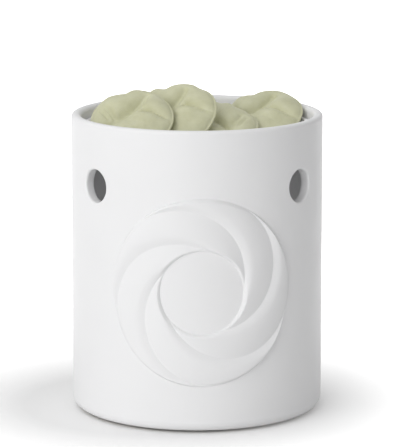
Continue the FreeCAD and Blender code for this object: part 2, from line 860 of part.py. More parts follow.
def terminal_block():
    """Block on the plate where the mains cord is clamped, with its fixing screw and four clamp screws."""
    solid = box("block_solid", "block_width", "block_depth", "block_height", y=BLOCK_PLACE, z=PLATE_TOP)
    tools = [cylinder("block_bore", "block_screw_radius", BLOCK_TOP, y=BLOCK_PLACE, z=PLATE_TOP)]
    tools.append(
        cylinder(
            "block_sink", "block_head_radius", "block_head_height + overrun",
            y=BLOCK_PLACE, z=f"{BLOCK_TOP} - block_head_height",
        )
    )
    for side, sign in (("left", "-"), ("right", "")):
        tools.append(
            cylinder(
                f"block_wire_hole_{side}", "lead_radius", "lead_entry + overrun",
                x=f"{sign}terminal_spacing / 2", y=BLOCK_PLACE, z=f"{BLOCK_TOP} - lead_entry",
            )
        )
    block = cut("terminal_block", solid, *tools)
    head = cylinder(
        "block_screw_head", "block_head_radius", "block_head_height",
        y=BLOCK_PLACE, z=f"{BLOCK_TOP} - block_head_height",
    )
    shank = cylinder(
        "block_screw_shank", "block_screw_radius", "block_height + plate_thickness - block_head_height",
        y=BLOCK_PLACE, z="foot_height",
    )
    screw = fused("block_screw", head, shank)
    template = outward(cylinder("clamp_screw", "clamp_screw_radius", "clamp_screw_height"), 0)
    doc.recompute()
    front = size("boss_depth") + size("block_gap") - size("block_depth") / 2
    level = size("foot_height") + size("plate_thickness") + size("block_height") / 2
    places = []
    for side in (-1, 1):
        across = side * size("terminal_spacing") / 2
        places.append(Placement(Vector(across, front, level), Rotation()))
        places.append(Placement(Vector(across, front + size("block_depth"), level), Rotation(UP, 180)))
    return [block, screw, copies("clamp_screws", template, places)]


def tube(points, bend, radius):
    """A round tube along straight runs joined by tangent arcs of one radius."""
    edges = []
    here = points[0]
    for before, corner, after in zip(points, points[1:], points[2:]):
        way_in = (before - corner).normalize()
        way_out = (after - corner).normalize()
        half = way_in.getAngle(way_out) / 2
        trim = bend / math.tan(half)
        middle = (way_in + way_out).normalize() * (bend / math.sin(half))
        start = corner + way_in * trim
        end = corner + way_out * trim
        top = corner + middle - Vector(middle).normalize() * bend
        edges += [Part.LineSegment(here, start).toShape(), Part.Arc(start, top, end).toShape()]
        here = end
    edges.append(Part.LineSegment(here, points[-1]).toShape())
    path = Part.Wire(edges)
    profile = Part.Wire([Part.Circle(points[0], points[1] - points[0], radius).toShape()])
    return path.makePipeShell([profile], True, False)


def leads():
    """Two short wires, up from the terminal block and forward into the lampholder's boss."""
    base = size("foot_height") + size("plate_thickness")
    block_top = base + size("block_height")
    back = size("boss_depth") + size("block_gap")
    level = base + size("strap_height") + size("holder_height") - size("boss_drop") - size("boss_height") / 2
    made = []
    for name, side in (("lead_live", -1), ("lead_neutral", 1)):
        across = side * size("terminal_spacing") / 2
        low = Vector(across, back, block_top - size("lead_entry"))
        corner = Vector(across, back, level)
        end = Vector(across, size("boss_depth") - size("lead_entry"), level)
        made.append(feature(name, tube([low, corner, end], size("lead_bend"), size("lead_radius"))))
    return made


def cord_grommet():
    """Rubber grommet in the cord hole, with a flange outside and a lip inside."""
    inside = f"({INNER} - grommet_lip)"
    outside = "(shell_radius + grommet_flange)"
    flange = "(cord_hole_radius + grommet_flange)"
    body = revolved(
        "grommet_body",
        [
            ("grommet_bore_radius", inside),
            (flange, inside),
            (flange, f"{INNER} - shell_wall / 4"),
            ("cord_hole_radius", f"{INNER} - shell_wall / 4"),
            ("cord_hole_radius", "shell_radius"),
            (flange, "shell_radius"),
            (flange, outside),
            ("grommet_bore_radius", outside),
        ],
    )
    grommet = feature("cord_grommet", body.Shape)
    grommet.Placement = Placement(Vector(0, 0, size("cord_height")), Rotation(ACROSS, -90))
    return grommet


# Lamp


def lamp_cap():
    """Brass screw cap: rolled thread, a collar round the glass neck and a mouth for the insulator."""
    turns = int(size("thread_turns")) - 1
    outer = thread("cap_radius", "cap_thread_depth", CAP_UNDER, turns)
    inner_radius = "(cap_radius - cap_thread_depth - cap_sheet)"
    top = [("cap_radius", CAP_TOP), (f"{inner_radius}", CAP_TOP)]
    under = [(inner_radius, f"{CAP_UNDER} + cap_sheet"), ("tip_radius", f"{CAP_UNDER} + cap_sheet")]
    return revolved("bulb_cap", outer + top + under + [("tip_radius", CAP_UNDER)])


def lamp_end():
    """Black insulator cone under the cap, and the solder tip."""
    under = f"({TIP} + tip_height)"
    insulator = revolved(
        "bulb_insulator",
        [("0", under), ("tip_radius", under), ("insulator_radius", CAP_UNDER), ("0", CAP_UNDER)],
    )
    tip = revolved(
        "bulb_tip",
        [("0", TIP), ("tip_radius / 2", TIP), ("tip_radius", under), ("0", under)],
    )
    return [insulator, tip]


def glass_outline(neck, belly, under, crown):
    """Half outline of the envelope from the neck up: straight neck, shoulder, straight belly, round end."""
    cap_top = lamp_heights()[1]
    shoulder = cap_top + size("shoulder_height")
    straight = shoulder + size("bulb_straight")
    rise = size("shoulder_height") / 2
    curve = Part.BezierCurve()
    curve.setPoles(
        [
            Vector(neck, 0, cap_top),
            Vector(neck, 0, cap_top + rise),
            Vector(belly, 0, shoulder - rise),
            Vector(belly, 0, shoulder),
        ]
    )
    diagonal = Vector(belly * math.sin(math.pi / 4), 0, straight + crown * math.cos(math.pi / 4))
    return [
        Part.LineSegment(Vector(neck, 0, under), Vector(neck, 0, cap_top)).toShape(),
        curve.toShape(),
        Part.LineSegment(Vector(belly, 0, shoulder), Vector(belly, 0, straight)).toShape(),
        Part.Arc(Vector(belly, 0, straight), diagonal, Vector(0, 0, straight + crown)).toShape(),
    ]


def lamp_heights():
    """Heights of the cap's underside and its top edge."""
    strap_top = size("foot_height") + size("plate_thickness") + size("strap_height")
    well = strap_top + size("holder_height") - size("well_depth")
    tip = well + size("contact_sheet") + size("contact_rise") + size("contact_gap")
    under = tip + size("tip_height") + size("insulator_height")
    return under, under + size("thread_pitch") * (size("thread_turns") - 1) + size("cap_collar")


def lamp_glass():
    """Thin blown envelope, open at the neck where the cap holds it."""
    under = lamp_heights()[1] - size("neck_height")
    wall = size("glass_wall")
    neck, belly = size("neck_radius"), size("bulb_radius")
    outer = glass_outline(neck, belly, under, belly)
    inner = glass_outline(neck - wall, belly - wall, under, belly - wall)
    top = lamp_heights()[1] + size("shoulder_height") + size("bulb_straight") + belly
    closing = [
        Part.LineSegment(Vector(neck, 0, under), Vector(neck - wall, 0, under)).toShape(),
        Part.LineSegment(Vector(0, 0, top), Vector(0, 0, top - wall)).toShape(),
    ]
    ring = Part.Wire(Part.__sortEdges__(outer + inner + closing))
    return feature("bulb_glass", Part.Face(ring).revolve(Vector(), UP, 360))


def lamp_mount():
    """Glass stem, two support wires and the filament between them."""
    neck_under = lamp_heights()[1] - size("neck_height")
    stem_top = neck_under + size("stem_height")
    radius = size("stem_radius")
    rim = size("neck_radius") - size("glass_wall")
    foot = neck_under + size("glass_wall")
    profile = Part.makePolygon(
        [
            Vector(0, 0, neck_under),
            Vector(rim, 0, neck_under),
            Vector(rim, 0, foot),
            Vector(radius, 0, foot + rim - radius),
            Vector(radius, 0, stem_top - radius),
            Vector(radius / 2, 0, stem_top),
            Vector(0, 0, stem_top),
            Vector(0, 0, neck_under),
        ]
    )
    stem = feature("bulb_stem", Part.Face(profile).revolve(Vector(), UP, 360))
    thin = size("wire_radius")
    high = stem_top + size("wire_rise")
    wires = []
    ends = []
    for side in (-1, 1):
        low = Vector(side * radius / 4, 0, stem_top)
        end = Vector(side * size("wire_spread"), 0, high)
        wires.append(Part.makeCylinder(thin, (end - low).Length, low, end - low))
        ends.append(end + Vector(0, 0, size("filament_radius")))
    bow = Vector(0, 0, ends[0].z + size("wire_spread") / 2)
    arc = Part.Wire([Part.Arc(ends[0], bow, ends[1]).toShape()])
    start = arc.Edges[0].tangentAt(arc.Edges[0].FirstParameter)
    section = Part.Wire([Part.Circle(ends[0], start, size("filament_radius")).toShape()])
    filament = feature("bulb_filament", arc.makePipeShell([section], True, False))
    return [stem, feature("bulb_wires", Part.makeCompound(wires)), filament]


nodes = [
    ceramic_shell(),
    wax_dish(),
    *place_melts(),
    base_plate(),
    *fixings(),
    bracket(),
    rivets(),
    *nipple_and_nut(),
    holder_housing(),
    screw_shell(),
    centre_contact(),
    terminal_screws(),
    *terminal_block(),
    *leads(),
    cord_grommet(),
    lamp_cap(),
    *lamp_end(),
    lamp_glass(),
    *lamp_mount(),
]
doc.recompute()

for thing in doc.Objects:
    if {"Invalid", "Error"} & set(thing.State):
        raise RuntimeError(f"{thing.Name} is {thing.State}")
for node in nodes:
    if node.Shape.isNull() or not node.Shape.isValid():
        raise RuntimeError(f"{node.Label} has no valid shape")

os.makedirs("parts", exist_ok=True)
for node in nodes:
    node.Shape.exportStep(f"parts/{node.Label}.step")
    print(f"{node.Label}: {len(node.Shape.Solids)} solids, {node.Shape.Volume:.1f} mm3")
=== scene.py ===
"""Looks of the wax melt warmer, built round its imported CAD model. Metres, +Z up, the front faces -Y."""

import math

import bmesh
import bpy
from mathutils import Matrix, Vector, noise
from mathutils.geometry import delaunay_2d_cdt

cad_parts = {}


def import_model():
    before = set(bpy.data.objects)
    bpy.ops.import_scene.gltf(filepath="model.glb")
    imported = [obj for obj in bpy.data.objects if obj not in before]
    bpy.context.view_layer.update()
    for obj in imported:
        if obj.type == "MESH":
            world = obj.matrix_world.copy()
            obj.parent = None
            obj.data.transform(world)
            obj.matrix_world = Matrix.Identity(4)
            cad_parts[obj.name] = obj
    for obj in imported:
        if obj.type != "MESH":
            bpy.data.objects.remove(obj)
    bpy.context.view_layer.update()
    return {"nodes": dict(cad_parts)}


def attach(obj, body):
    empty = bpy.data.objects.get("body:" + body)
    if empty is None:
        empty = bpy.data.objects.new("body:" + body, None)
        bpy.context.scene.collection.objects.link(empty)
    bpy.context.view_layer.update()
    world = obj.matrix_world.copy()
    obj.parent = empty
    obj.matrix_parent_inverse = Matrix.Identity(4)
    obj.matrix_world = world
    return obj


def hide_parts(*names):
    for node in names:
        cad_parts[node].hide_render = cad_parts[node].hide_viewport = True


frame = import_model()

# Fineness of the meshes, and the azimuth at which the rings of turned pieces begin
SEGMENTS = 256
HOLE_POINTS = 64
ROW_STEP = 0.0022
RING_MARGIN = 0.0008
SEAM = math.radians(-100)
# Points nearer than this are one, and a wall's triangles tell points apart ten times as finely
MERGE = 0.000002
TRIANGLE_MERGE = MERGE / 10
# Angles in degrees past which an edge is shaded sharp
SHARP = 50
SHELL_SHARP = 80
MELT_SHARP = 70
# Steps in a rounded corner
ROUND_STEPS = 7
RIM_STEPS = 12
BASE_STEPS = 10
DISH_STEPS = 10

# Sizes of the ceramic body
BODY_RADIUS = 0.05
INNER_RADIUS = 0.046
RIM_TOP = 0.119
RIM_ROUND = 0.0016
RIM_INNER_ROUND = 0.002
FOOT_BOTTOM = 0.0008
FOOT_ROUND = 0.004
RECESS_RADIUS = 0.044
FLOOR_UNDER = 0.0042
FLOOR_TOP = 0.0092
OPENING_RADIUS = 0.03404
LEDGE_RADIUS = 0.0416
LEDGE_TOP = 0.1038
LEDGE_TIP = 0.1022
LEDGE_ROOT = 0.1014
SOFT_EDGE = 0.0005
VENT_RADIUS = 0.0065
VENT_HEIGHT = 0.0945
VENT_AZIMUTH = math.radians(53.1)
VENT_ROUND = 0.0008
CORD_HOLE_RADIUS = 0.005
CORD_HEIGHT = 0.017
CORD_HOLE_ROUND = 0.0003
# Rings of a hole: steps in its outer and inner round, and places between them as shares of the wall
HOLE_OUTER_STEPS = 6
HOLE_INNER_STEPS = 4
HOLE_MIDDLE_SHARES = (0.4, 0.6)
# Azimuth in radians within which a hole is on a place's own side of the body
HOLE_SIDE = 1

# Whirl on the front
WHIRL_RADIUS = 0.037
WHIRL_CENTRE_RADIUS = 0.0163
WHIRL_HEIGHT = 0.056
WHIRL_AZIMUTH = math.radians(1.65)
WHIRL_RISE = 0.00178
WHIRL_ARMS = 5
WHIRL_ARC = 2 * math.pi / WHIRL_ARMS
WHIRL_SWEEP = math.radians(140)
# The whirl's height between two crests as a share of its rise, and how much of an arm is its steep side
WHIRL_VALLEY_SHARE = 0.3
WHIRL_CREST_SHARE = 0.3
# How evenly an arm moves out as it turns, and over how much of its length it dies away at each end, and how
WHIRL_EVEN_SHARE = 0.25
WHIRL_BORDER_SHARE = 0.125
WHIRL_BORDER_POWER = 1.5
# Rings of the whirl, how much they crowd towards its borders, and the places across an arm
WHIRL_ALONG = 72
WHIRL_CROWD_SHARE = 0.8
WHIRL_ACROSS_SHARES = [
    0, 0.015, 0.04, 0.08, 0.13, 0.19, 0.25, 0.31, 0.37, 0.43, 0.49, 0.55, 0.61,
    0.66, 0.7, 0.74, 0.78, 0.82, 0.86, 0.9, 0.94, 0.97, 0.985, 1,
]

# Wax dish
DISH_RADIUS = 0.0455
DISH_WALL = 0.0018
DISH_UNDER = 0.1038
DISH_LIP = 0.1148
DISH_FLOOR = 0.1055
DISH_OUTER_ROUND = 0.003
DISH_INNER_ROUND = 0.0025
DISH_LIP_ROUND = 0.00072

# Underside and back. Corners are (radius, height, round), and the grommet's heights run towards the back
PLATE_UNDER = 0.003
FOOT_PAD_RADIUS = 0.005
FOOT_PAD_PLACE = 0.037
FOOT_PAD_POINTS = 64
FOOT_PAD_AZIMUTHS = [math.radians(angle) for angle in (60, 180, 300)]
FOOT_PAD_CORNERS = [
    (0, 0.0004, 0),
    (0.0026, 0.0004, 0.0002),
    (0.003, 0, 0.0002),
    (FOOT_PAD_RADIUS, 0, 0.0009),
    (FOOT_PAD_RADIUS, PLATE_UNDER, 0.0003),
    (0, PLATE_UNDER, 0),
]
GROMMET_BORE = 0.0032
GROMMET_FLANGE = 0.007
GROMMET_POINTS = 96
GROMMET_CORNERS = [
    (GROMMET_BORE, 0.044, 0.0004),
    (GROMMET_FLANGE, 0.044, 0.0004),
    (GROMMET_FLANGE, 0.045, 0.0002),
    (CORD_HOLE_RADIUS, 0.045, 0.0002),
    (CORD_HOLE_RADIUS, BODY_RADIUS, 0.0002),
    (GROMMET_FLANGE, BODY_RADIUS, 0.0003),
    (GROMMET_FLANGE, 0.052, 0.0009),
    (GROMMET_BORE, 0.052, 0.0005),
]

# Base screws: their heads, seen from below, and their threads
SCREW_RING = 0.04002
SCREW_AZIMUTHS = [math.radians(angle) for angle in (0, 120, 240)]
HEAD_RADIUS = 0.0034
HEAD_UNDER = 0.0014
HEAD_CROWN_SHARE = 0.75
HEAD_CROWN_POWER = 4
HEAD_POINTS = 96
HEAD_ROWS = 36
SLOT_WIDTH = 0.0009
SLOT_REACH = 0.0021
SLOT_DEPTH = 0.0009
SLOT_EDGE = SLOT_WIDTH / 4
SCREW_RADIUS = 0.002
SCREW_THREAD = 0.0003
SCREW_PITCH = 0.0007
SCREW_THREAD_TOP = 0.0138
SCREW_TIP = 0.0142
SCREW_TIP_RADIUS = 0.0015
SCREW_POINTS = 48
SCREW_THREAD_STEPS = 10

# Lamp
LAMP_CAP_RADIUS = 0.0068
LAMP_CAP_UNDER = 0.0291
LAMP_CAP_TOP = 0.0451
LAMP_CAP_SHEET = 0.0004
LAMP_CAP_EDGE = 0.0002
LAMP_CAP_HOLE = 0.002
LAMP_THREAD = 0.0004
LAMP_PITCH = 0.0028
LAMP_THREAD_TOP = LAMP_CAP_TOP - 0.0018
LAMP_COLLAR_UNDER = LAMP_CAP_TOP - 0.0014
LAMP_THREAD_STEPS = 24
LAMP_POINTS = 96
LAMP_NECK = 0.006
LAMP_NECK_UNDER = 0.0411
LAMP_BELLY = 0.011
LAMP_SHOULDER = 0.0541
LAMP_CROWN = 0.0681
LAMP_GLASS_WALL = 0.0006
LAMP_GLASS_STEPS = 16
FILAMENT_REACH = 0.005
FILAMENT_ENDS = 0.07055
FILAMENT_BOW = 0.0025
FILAMENT_TURNS = 34
FILAMENT_TURN_STEPS = 14
FILAMENT_COIL = 0.00028
FILAMENT_WIRE = 0.00007
FILAMENT_SIDES = 6

# Wax melts: middle, and tilt, lean and turn in degrees, of each
MELT_RADIUS = 0.0171
MELT_HALF = 0.00422
MELT_AROUND = 144
MELT_RINGS = 44
MELT_PLACES = {
    "wax_melt_left": ((-0.0251, -0.0118, 0.1171), 33.7, -15.8, 0),
    "wax_melt_centre": ((-0.0086, -0.0057, 0.11795), 35.2, -21.5, 0),
    "wax_melt_front": ((0.0078, -0.0026, 0.1131), 20.8, -6.1, 0),
    "wax_melt_right": ((0.025, 0.0118, 0.1147), 24.9, -10.7, 0),
    "wax_melt_under_left": ((-0.0244, 0.0099, 0.1117), 14.8, -2.9, 200),
    "wax_melt_under_right": ((-0.0002, 0.0264, 0.1104), 8.1, 1.1, 140),
}
# The melt that lies the other way round
MIRRORED_MELT = "wax_melt_front"
# Dips in a melt's outline: place and width as shares of a full turn, depth as a share of the radius
MELT_OUTLINE_SHARES = [(0.375, 0.11, 0.085), (0.256, 0.018, 0.05), (0.64, 0.08, 0.08)]
# What each melt's own outline adds to that, in the same terms
MELT_OWN_SHARES = {
    "wax_melt_left": [
        (0.37, 0.09, -0.2), (0.1, 0.07, 0.06), (0.315, 0.03, -0.06), (0.23, 0.045, -0.055),
        (0.01, 0.09, 0.055),
    ],
    "wax_melt_centre": [(0.33, 0.06, -0.14), (0.29, 0.03, -0.12), (0.215, 0.06, -0.045), (0.1, 0.03, 0.05)],
    "wax_melt_front": [
        (0.2, 0.06, -0.05), (0.27, 0.06, -0.15), (0.25, 0.015, -0.12), (0.283, 0.01, 0.03),
        (0.31, 0.018, -0.05),
    ],
    "wax_melt_right": [(0.08, 0.12, -0.07), (0.17, 0.05, -0.03), (0.31, 0.045, -0.11), (0.195, 0.06, -0.09)],
    "wax_melt_under_left": [(0.8, 0.05, 0.03)],
    "wax_melt_under_right": [(0.1, 0.06, 0.03)],
}
# Folds in a melt's top: width as a share of the radius, depth as a share of the height, and a line of places
MELT_FOLD_SHARES = [
    (0.17, 0.72, [(-0.66, -0.06), (-0.35, 0.06), (-0.12, 0.16), (0.07, 0.26), (0.27, 0.44), (0.42, 0.63)]),
    (0.06, 0.4, [(-0.6, -0.04), (-0.35, 0.06), (-0.12, 0.16), (0.07, 0.26), (0.27, 0.44), (0.42, 0.63)]),
    (0.08, 0.62, [(0.3, 0.12), (0.42, 0.03), (0.6, -0.12), (0.75, -0.28), (0.92, -0.38)]),
    (0.16, 0.2, [(-0.1, -0.12), (0.16, -0.33), (0.33, -0.5)]),
    (0.06, 0.42, [(-0.55, 0.52), (-0.42, 0.15)]),
    (0.05, 0.36, [(-0.69, 0.5), (-0.55, 0.17)]),
    (0.03, 0.1, [(-0.3, -0.38), (-0.02, -0.3)]),
    (0.03, 0.08, [(-0.34, -0.5), (-0.05, -0.44)]),
]
# Folds in the top of the front melt, which shows its other end, in the same terms
FRONT_FOLD_SHARES = [
    (0.13, 0.7, [(0.12, 0.3), (-0.01, 0.03), (-0.14, -0.15), (-0.26, -0.33), (-0.4, -0.6)]),
    (0.06, 0.34, [(-0.37, -0.22), (-0.59, 0.12)]),
    (0.05, 0.28, [(-0.52, -0.28), (-0.72, 0.04)]),
    (0.16, 0.3, [(0.3, 0.7), (0.1, 0.5)]),
]
# Swellings of a melt's top: width as a share of the radius, rise as a share of the height, and a place
MELT_LOBE_SHARES = [
    (0.34, 0.34, (0.3, -0.3)),
    (0.3, 0.2, (0.6, 0.24)),
    (0.4, 0.22, (-0.36, 0.5)),
    (0.3, 0.12, (-0.45, -0.48)),
]
# The thin rim that a mould leaves round a melt: where it starts, how thick it is and how squarely it ends
MELT_RIM_SHARE = 0.955
MELT_RIM_RISE_SHARE = 0.15
MELT_RIM_POWER = 14
# How sharply a fold bottoms out, and the least that folds leave of a melt's dome
MELT_FOLD_POWER = 1.2
MELT_LEAST_SHARE = 0.1
# Slow wander of a melt's skin: its depth, its waves in a metre, and the step from one melt's to the next's
WANDER = 0.00012
WANDER_WAVES = 260
WANDER_STEP = 7.3


# Meshes


def polar(azimuth, height, radius):
    """A point by its azimuth from the front, its height and its distance from the object's axis."""
    return Vector((radius * math.sin(azimuth), -radius * math.cos(azimuth), height))


def placed(name, data):
    """An object of the scene that holds a mesh, a light or a camera."""
    made = bpy.data.objects.new(name, data)
    bpy.context.scene.collection.objects.link(made)
    return made


def piece(name, points, faces, body, nodes, material, rule=None, sharp=SHARP):
    """One mesh object, its close points merged, riding on a body and standing for CAD nodes.

    A rule gives a point's exact normal, or a null vector where Blender is to work it out.
    """
    mesh = bpy.data.meshes.new(name)
    mesh.from_pydata([tuple(point) for point in points], [], faces)
    shape = bmesh.new()
    shape.from_mesh(mesh)
    bmesh.ops.remove_doubles(shape, verts=shape.verts, dist=MERGE)
    bmesh.ops.recalc_face_normals(shape, faces=shape.faces)
    shape.to_mesh(mesh)
    shape.free()
    mesh.shade_smooth()
    mesh.set_sharp_from_angle(angle=math.radians(sharp))
    if rule:
        mesh.normals_split_custom_set_from_vertices([rule(vertex.co) for vertex in mesh.vertices])
    mesh.materials.append(material)
    made = placed(name, mesh)
    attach(made, body)
    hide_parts(*nodes)
    return made


def profile(corners, steps=ROUND_STEPS):
    """Points of an outline of (radius, height, round) corners."""
    line = []
    for i, (radius, height, turn) in enumerate(corners):
        here = Vector((radius, height))
        if not turn:
            line.append(here)
            continue
        back = (Vector(corners[i - 1][:2]) - here).normalized()
        on = (Vector(corners[(i + 1) % len(corners)][:2]) - here).normalized()
        half = back.angle(on) / 2
        middle = here + (back + on).normalized() * turn / math.sin(half)
        first = here + back * turn / math.tan(half) - middle
        last = here + on * turn / math.tan(half) - middle
        for step in range(steps + 1):
            line.append(middle + first.lerp(last, step / steps).normalized() * turn)
    return line


def strips(rings, loop=False):
    """Points and quads of equal closed rings joined one to the next, and the last to the first in a loop."""
    count = len(rings[0])
    points = [point for ring in rings for point in ring]
    faces = []
    for row in range(len(rings) if loop else len(rings) - 1):
        after = (row + 1) % len(rings)
        for i in range(count):
            j = (i + 1) % count
            faces.append((row * count + i, row * count + j, after * count + j, after * count + i))
    return points, faces


def turned(line, count=SEGMENTS):
    """Rings of a line of (radius, height) points turned about +Z."""
    azimuths = [SEAM + 2 * math.pi * i / count for i in range(count)]
    return [[polar(azimuth, height, radius) for azimuth in azimuths] for radius, height in line]


def joined(*parts):
    """Several (points, faces) as one."""
    points, faces = [], []
    for more_points, more_faces in parts:
        faces += [tuple(i + len(points) for i in face) for face in more_faces]
        points += more_points
    return points, faces


def moved(part, matrix):
    return [matrix @ point for point in part[0]], part[1]


def tube(path, radius, sides):
    """A closed round tube along a line of points."""
    rings = []
    side = None
    for i, point in enumerate(path):
        way = (path[min(i + 1, len(path) - 1)] - path[max(i - 1, 0)]).normalized()
        if side is None:
            side = way.orthogonal().normalized()
        side = (side - way * side.dot(way)).normalized()
        over = way.cross(side)
        turns = [2 * math.pi * k / sides for k in range(sides)]
        rings.append([point + (side * math.cos(t) + over * math.sin(t)) * radius for t in turns])
    rings.insert(0, [path[0]] * sides)
    rings.append([path[-1]] * sides)
    return strips(rings)


# Ceramic body


def hole_loop(azimuth, middle, reach, radius):
    """Where a round hole meets a cylinder of a radius, as (azimuth, height) places."""
    loop = []
    for i in range(HOLE_POINTS):
        turn = 2 * math.pi * i / HOLE_POINTS
        aside = math.asin(reach * math.cos(turn) / radius)
        loop.append((azimuth + aside, middle + reach * math.sin(turn)))
    return loop


def hole_rings(azimuth, middle, reach, turn_out, turn_in):
    """Rings of a hole through the wall with both its edges rounded, from the outside in."""
    rounds = []
    for step in range(HOLE_OUTER_STEPS + 1):
        quarter = math.pi / 2 * step / HOLE_OUTER_STEPS
        rounds.append((reach + turn_out * (1 - math.sin(quarter)), turn_out * (1 - math.cos(quarter))))
    wall = BODY_RADIUS - INNER_RADIUS
    rounds += [(reach, wall * share) for share in HOLE_MIDDLE_SHARES]
    for step in range(HOLE_INNER_STEPS + 1):
        quarter = math.pi / 2 * step / HOLE_INNER_STEPS
        rounds.append((reach + turn_in * (1 - math.cos(quarter)), wall - turn_in * (1 - math.sin(quarter))))
    rings = []
    for ring_reach, depth in rounds:
        radius = BODY_RADIUS - depth
        rings.append([polar(*place, radius) for place in hole_loop(azimuth, middle, ring_reach, radius)])
    return rings


def whirl_ease(way):
    """How far out an arm of the whirl is, as a share, at a share of its length."""
    return WHIRL_EVEN_SHARE * way + (1 - WHIRL_EVEN_SHARE) * (1 - math.cos(math.pi * way)) / 2


def whirl_place(way, phase):
    """Azimuth and height of a point of the whirl."""
    radius = WHIRL_CENTRE_RADIUS + (WHIRL_RADIUS - WHIRL_CENTRE_RADIUS) * whirl_ease(way)
    turn = phase + WHIRL_SWEEP * way
    return WHIRL_AZIMUTH + radius * math.cos(turn) / BODY_RADIUS, WHIRL_HEIGHT + radius * math.sin(turn)


def whirl_rise(way, across):
    """Height of the whirl over the wall, dying away smoothly at its inner and outer borders."""
    crest = 1 - WHIRL_CREST_SHARE
    slope = across / crest if across < crest else (1 - across) / (1 - crest)
    ridge = math.sin(math.pi / 2 * slope)
    border = min(1, way / WHIRL_BORDER_SHARE, (1 - way) / WHIRL_BORDER_SHARE)
    shoulder = math.sin(math.pi / 2 * border) ** WHIRL_BORDER_POWER
    return WHIRL_RISE * (WHIRL_VALLEY_SHARE + (1 - WHIRL_VALLEY_SHARE) * ridge) * shoulder


def whirl_ring(way):
    """One ring of the whirl, as places of (azimuth, height, rise over the wall)."""
    ring = []
    for arm in range(WHIRL_ARMS):
        for across in WHIRL_ACROSS_SHARES[:-1]:
            ring.append((*whirl_place(way, WHIRL_ARC * (arm + across)), whirl_rise(way, across)))
    return ring


def whirl_rings():
    """Rings of points of the whirl from its centre out."""
    rings = []
    for step in range(WHIRL_ALONG + 1):
        even = step / WHIRL_ALONG
        way = even - math.sin(2 * math.pi * even) / (2 * math.pi) * WHIRL_CROWD_SHARE
        places = whirl_ring(way)
        rings.append([polar(azimuth, height, BODY_RADIUS + rise) for azimuth, height, rise in places])
    return rings


def wall_part(radius, low, high, holes, with_whirl):
    """The wall of a cylinder as triangles, left open where holes and the whirl are."""
    loops = [hole_loop(*hole, radius) for hole in holes]
    if with_whirl:
        loops += [[place[:2] for place in whirl_ring(way)] for way in (0, 1)]

    def is_wall(azimuth, height, spare):
        """Whether a place is off every hole and the whirl by a spare distance or more."""
        for hole_azimuth, middle, reach in holes:
            gap = azimuth - hole_azimuth
            if abs(gap) < HOLE_SIDE and math.hypot(radius * math.sin(gap), height - middle) < reach + spare:
                return False
        if with_whirl:
            out = math.hypot((azimuth - WHIRL_AZIMUTH) * radius, height - WHIRL_HEIGHT)
            if WHIRL_CENTRE_RADIUS - spare < out < WHIRL_RADIUS + spare:
                return False
        return True

    rows = round((high - low) / ROW_STEP)
    places = []
    for i in range(SEGMENTS + 1):
        azimuth = SEAM + 2 * math.pi * i / SEGMENTS
        for row in range(rows + 1):
            height = low + (high - low) * row / rows
            if is_wall(azimuth, height, RING_MARGIN):
                places.append((azimuth, height))
    edges = []
    for loop in loops:
        first = len(places)
        places += loop
        edges += [(first + i, first + (i + 1) % len(loop)) for i in range(len(loop))]
    flat = [Vector((azimuth * radius, height)) for azimuth, height in places]
    corners, _, faces, *_ = delaunay_2d_cdt(flat, edges, [], 0, TRIANGLE_MERGE)
    kept = []
    for face in faces:
        middle = sum((corners[i] for i in face), Vector((0, 0))) / len(face)
        if is_wall(middle.x / radius, middle.y, 0):
            kept.append(tuple(face))
    return [polar(corner.x / radius, corner.y, radius) for corner in corners], kept


def shell_normal(point):
    """Exact normal on the straight walls and nothing elsewhere."""
    out = math.hypot(point.x, point.y)
    radial = Vector((point.x, point.y, 0)) / max(out, MERGE)
    if abs(out - BODY_RADIUS) < MERGE and FOOT_BOTTOM + FOOT_ROUND <= point.z <= RIM_TOP - RIM_ROUND:
        return radial
    if abs(out - INNER_RADIUS) < MERGE and FLOOR_TOP + MERGE < point.z < LEDGE_ROOT - MERGE:
        return -radial
    return Vector((0, 0, 0))


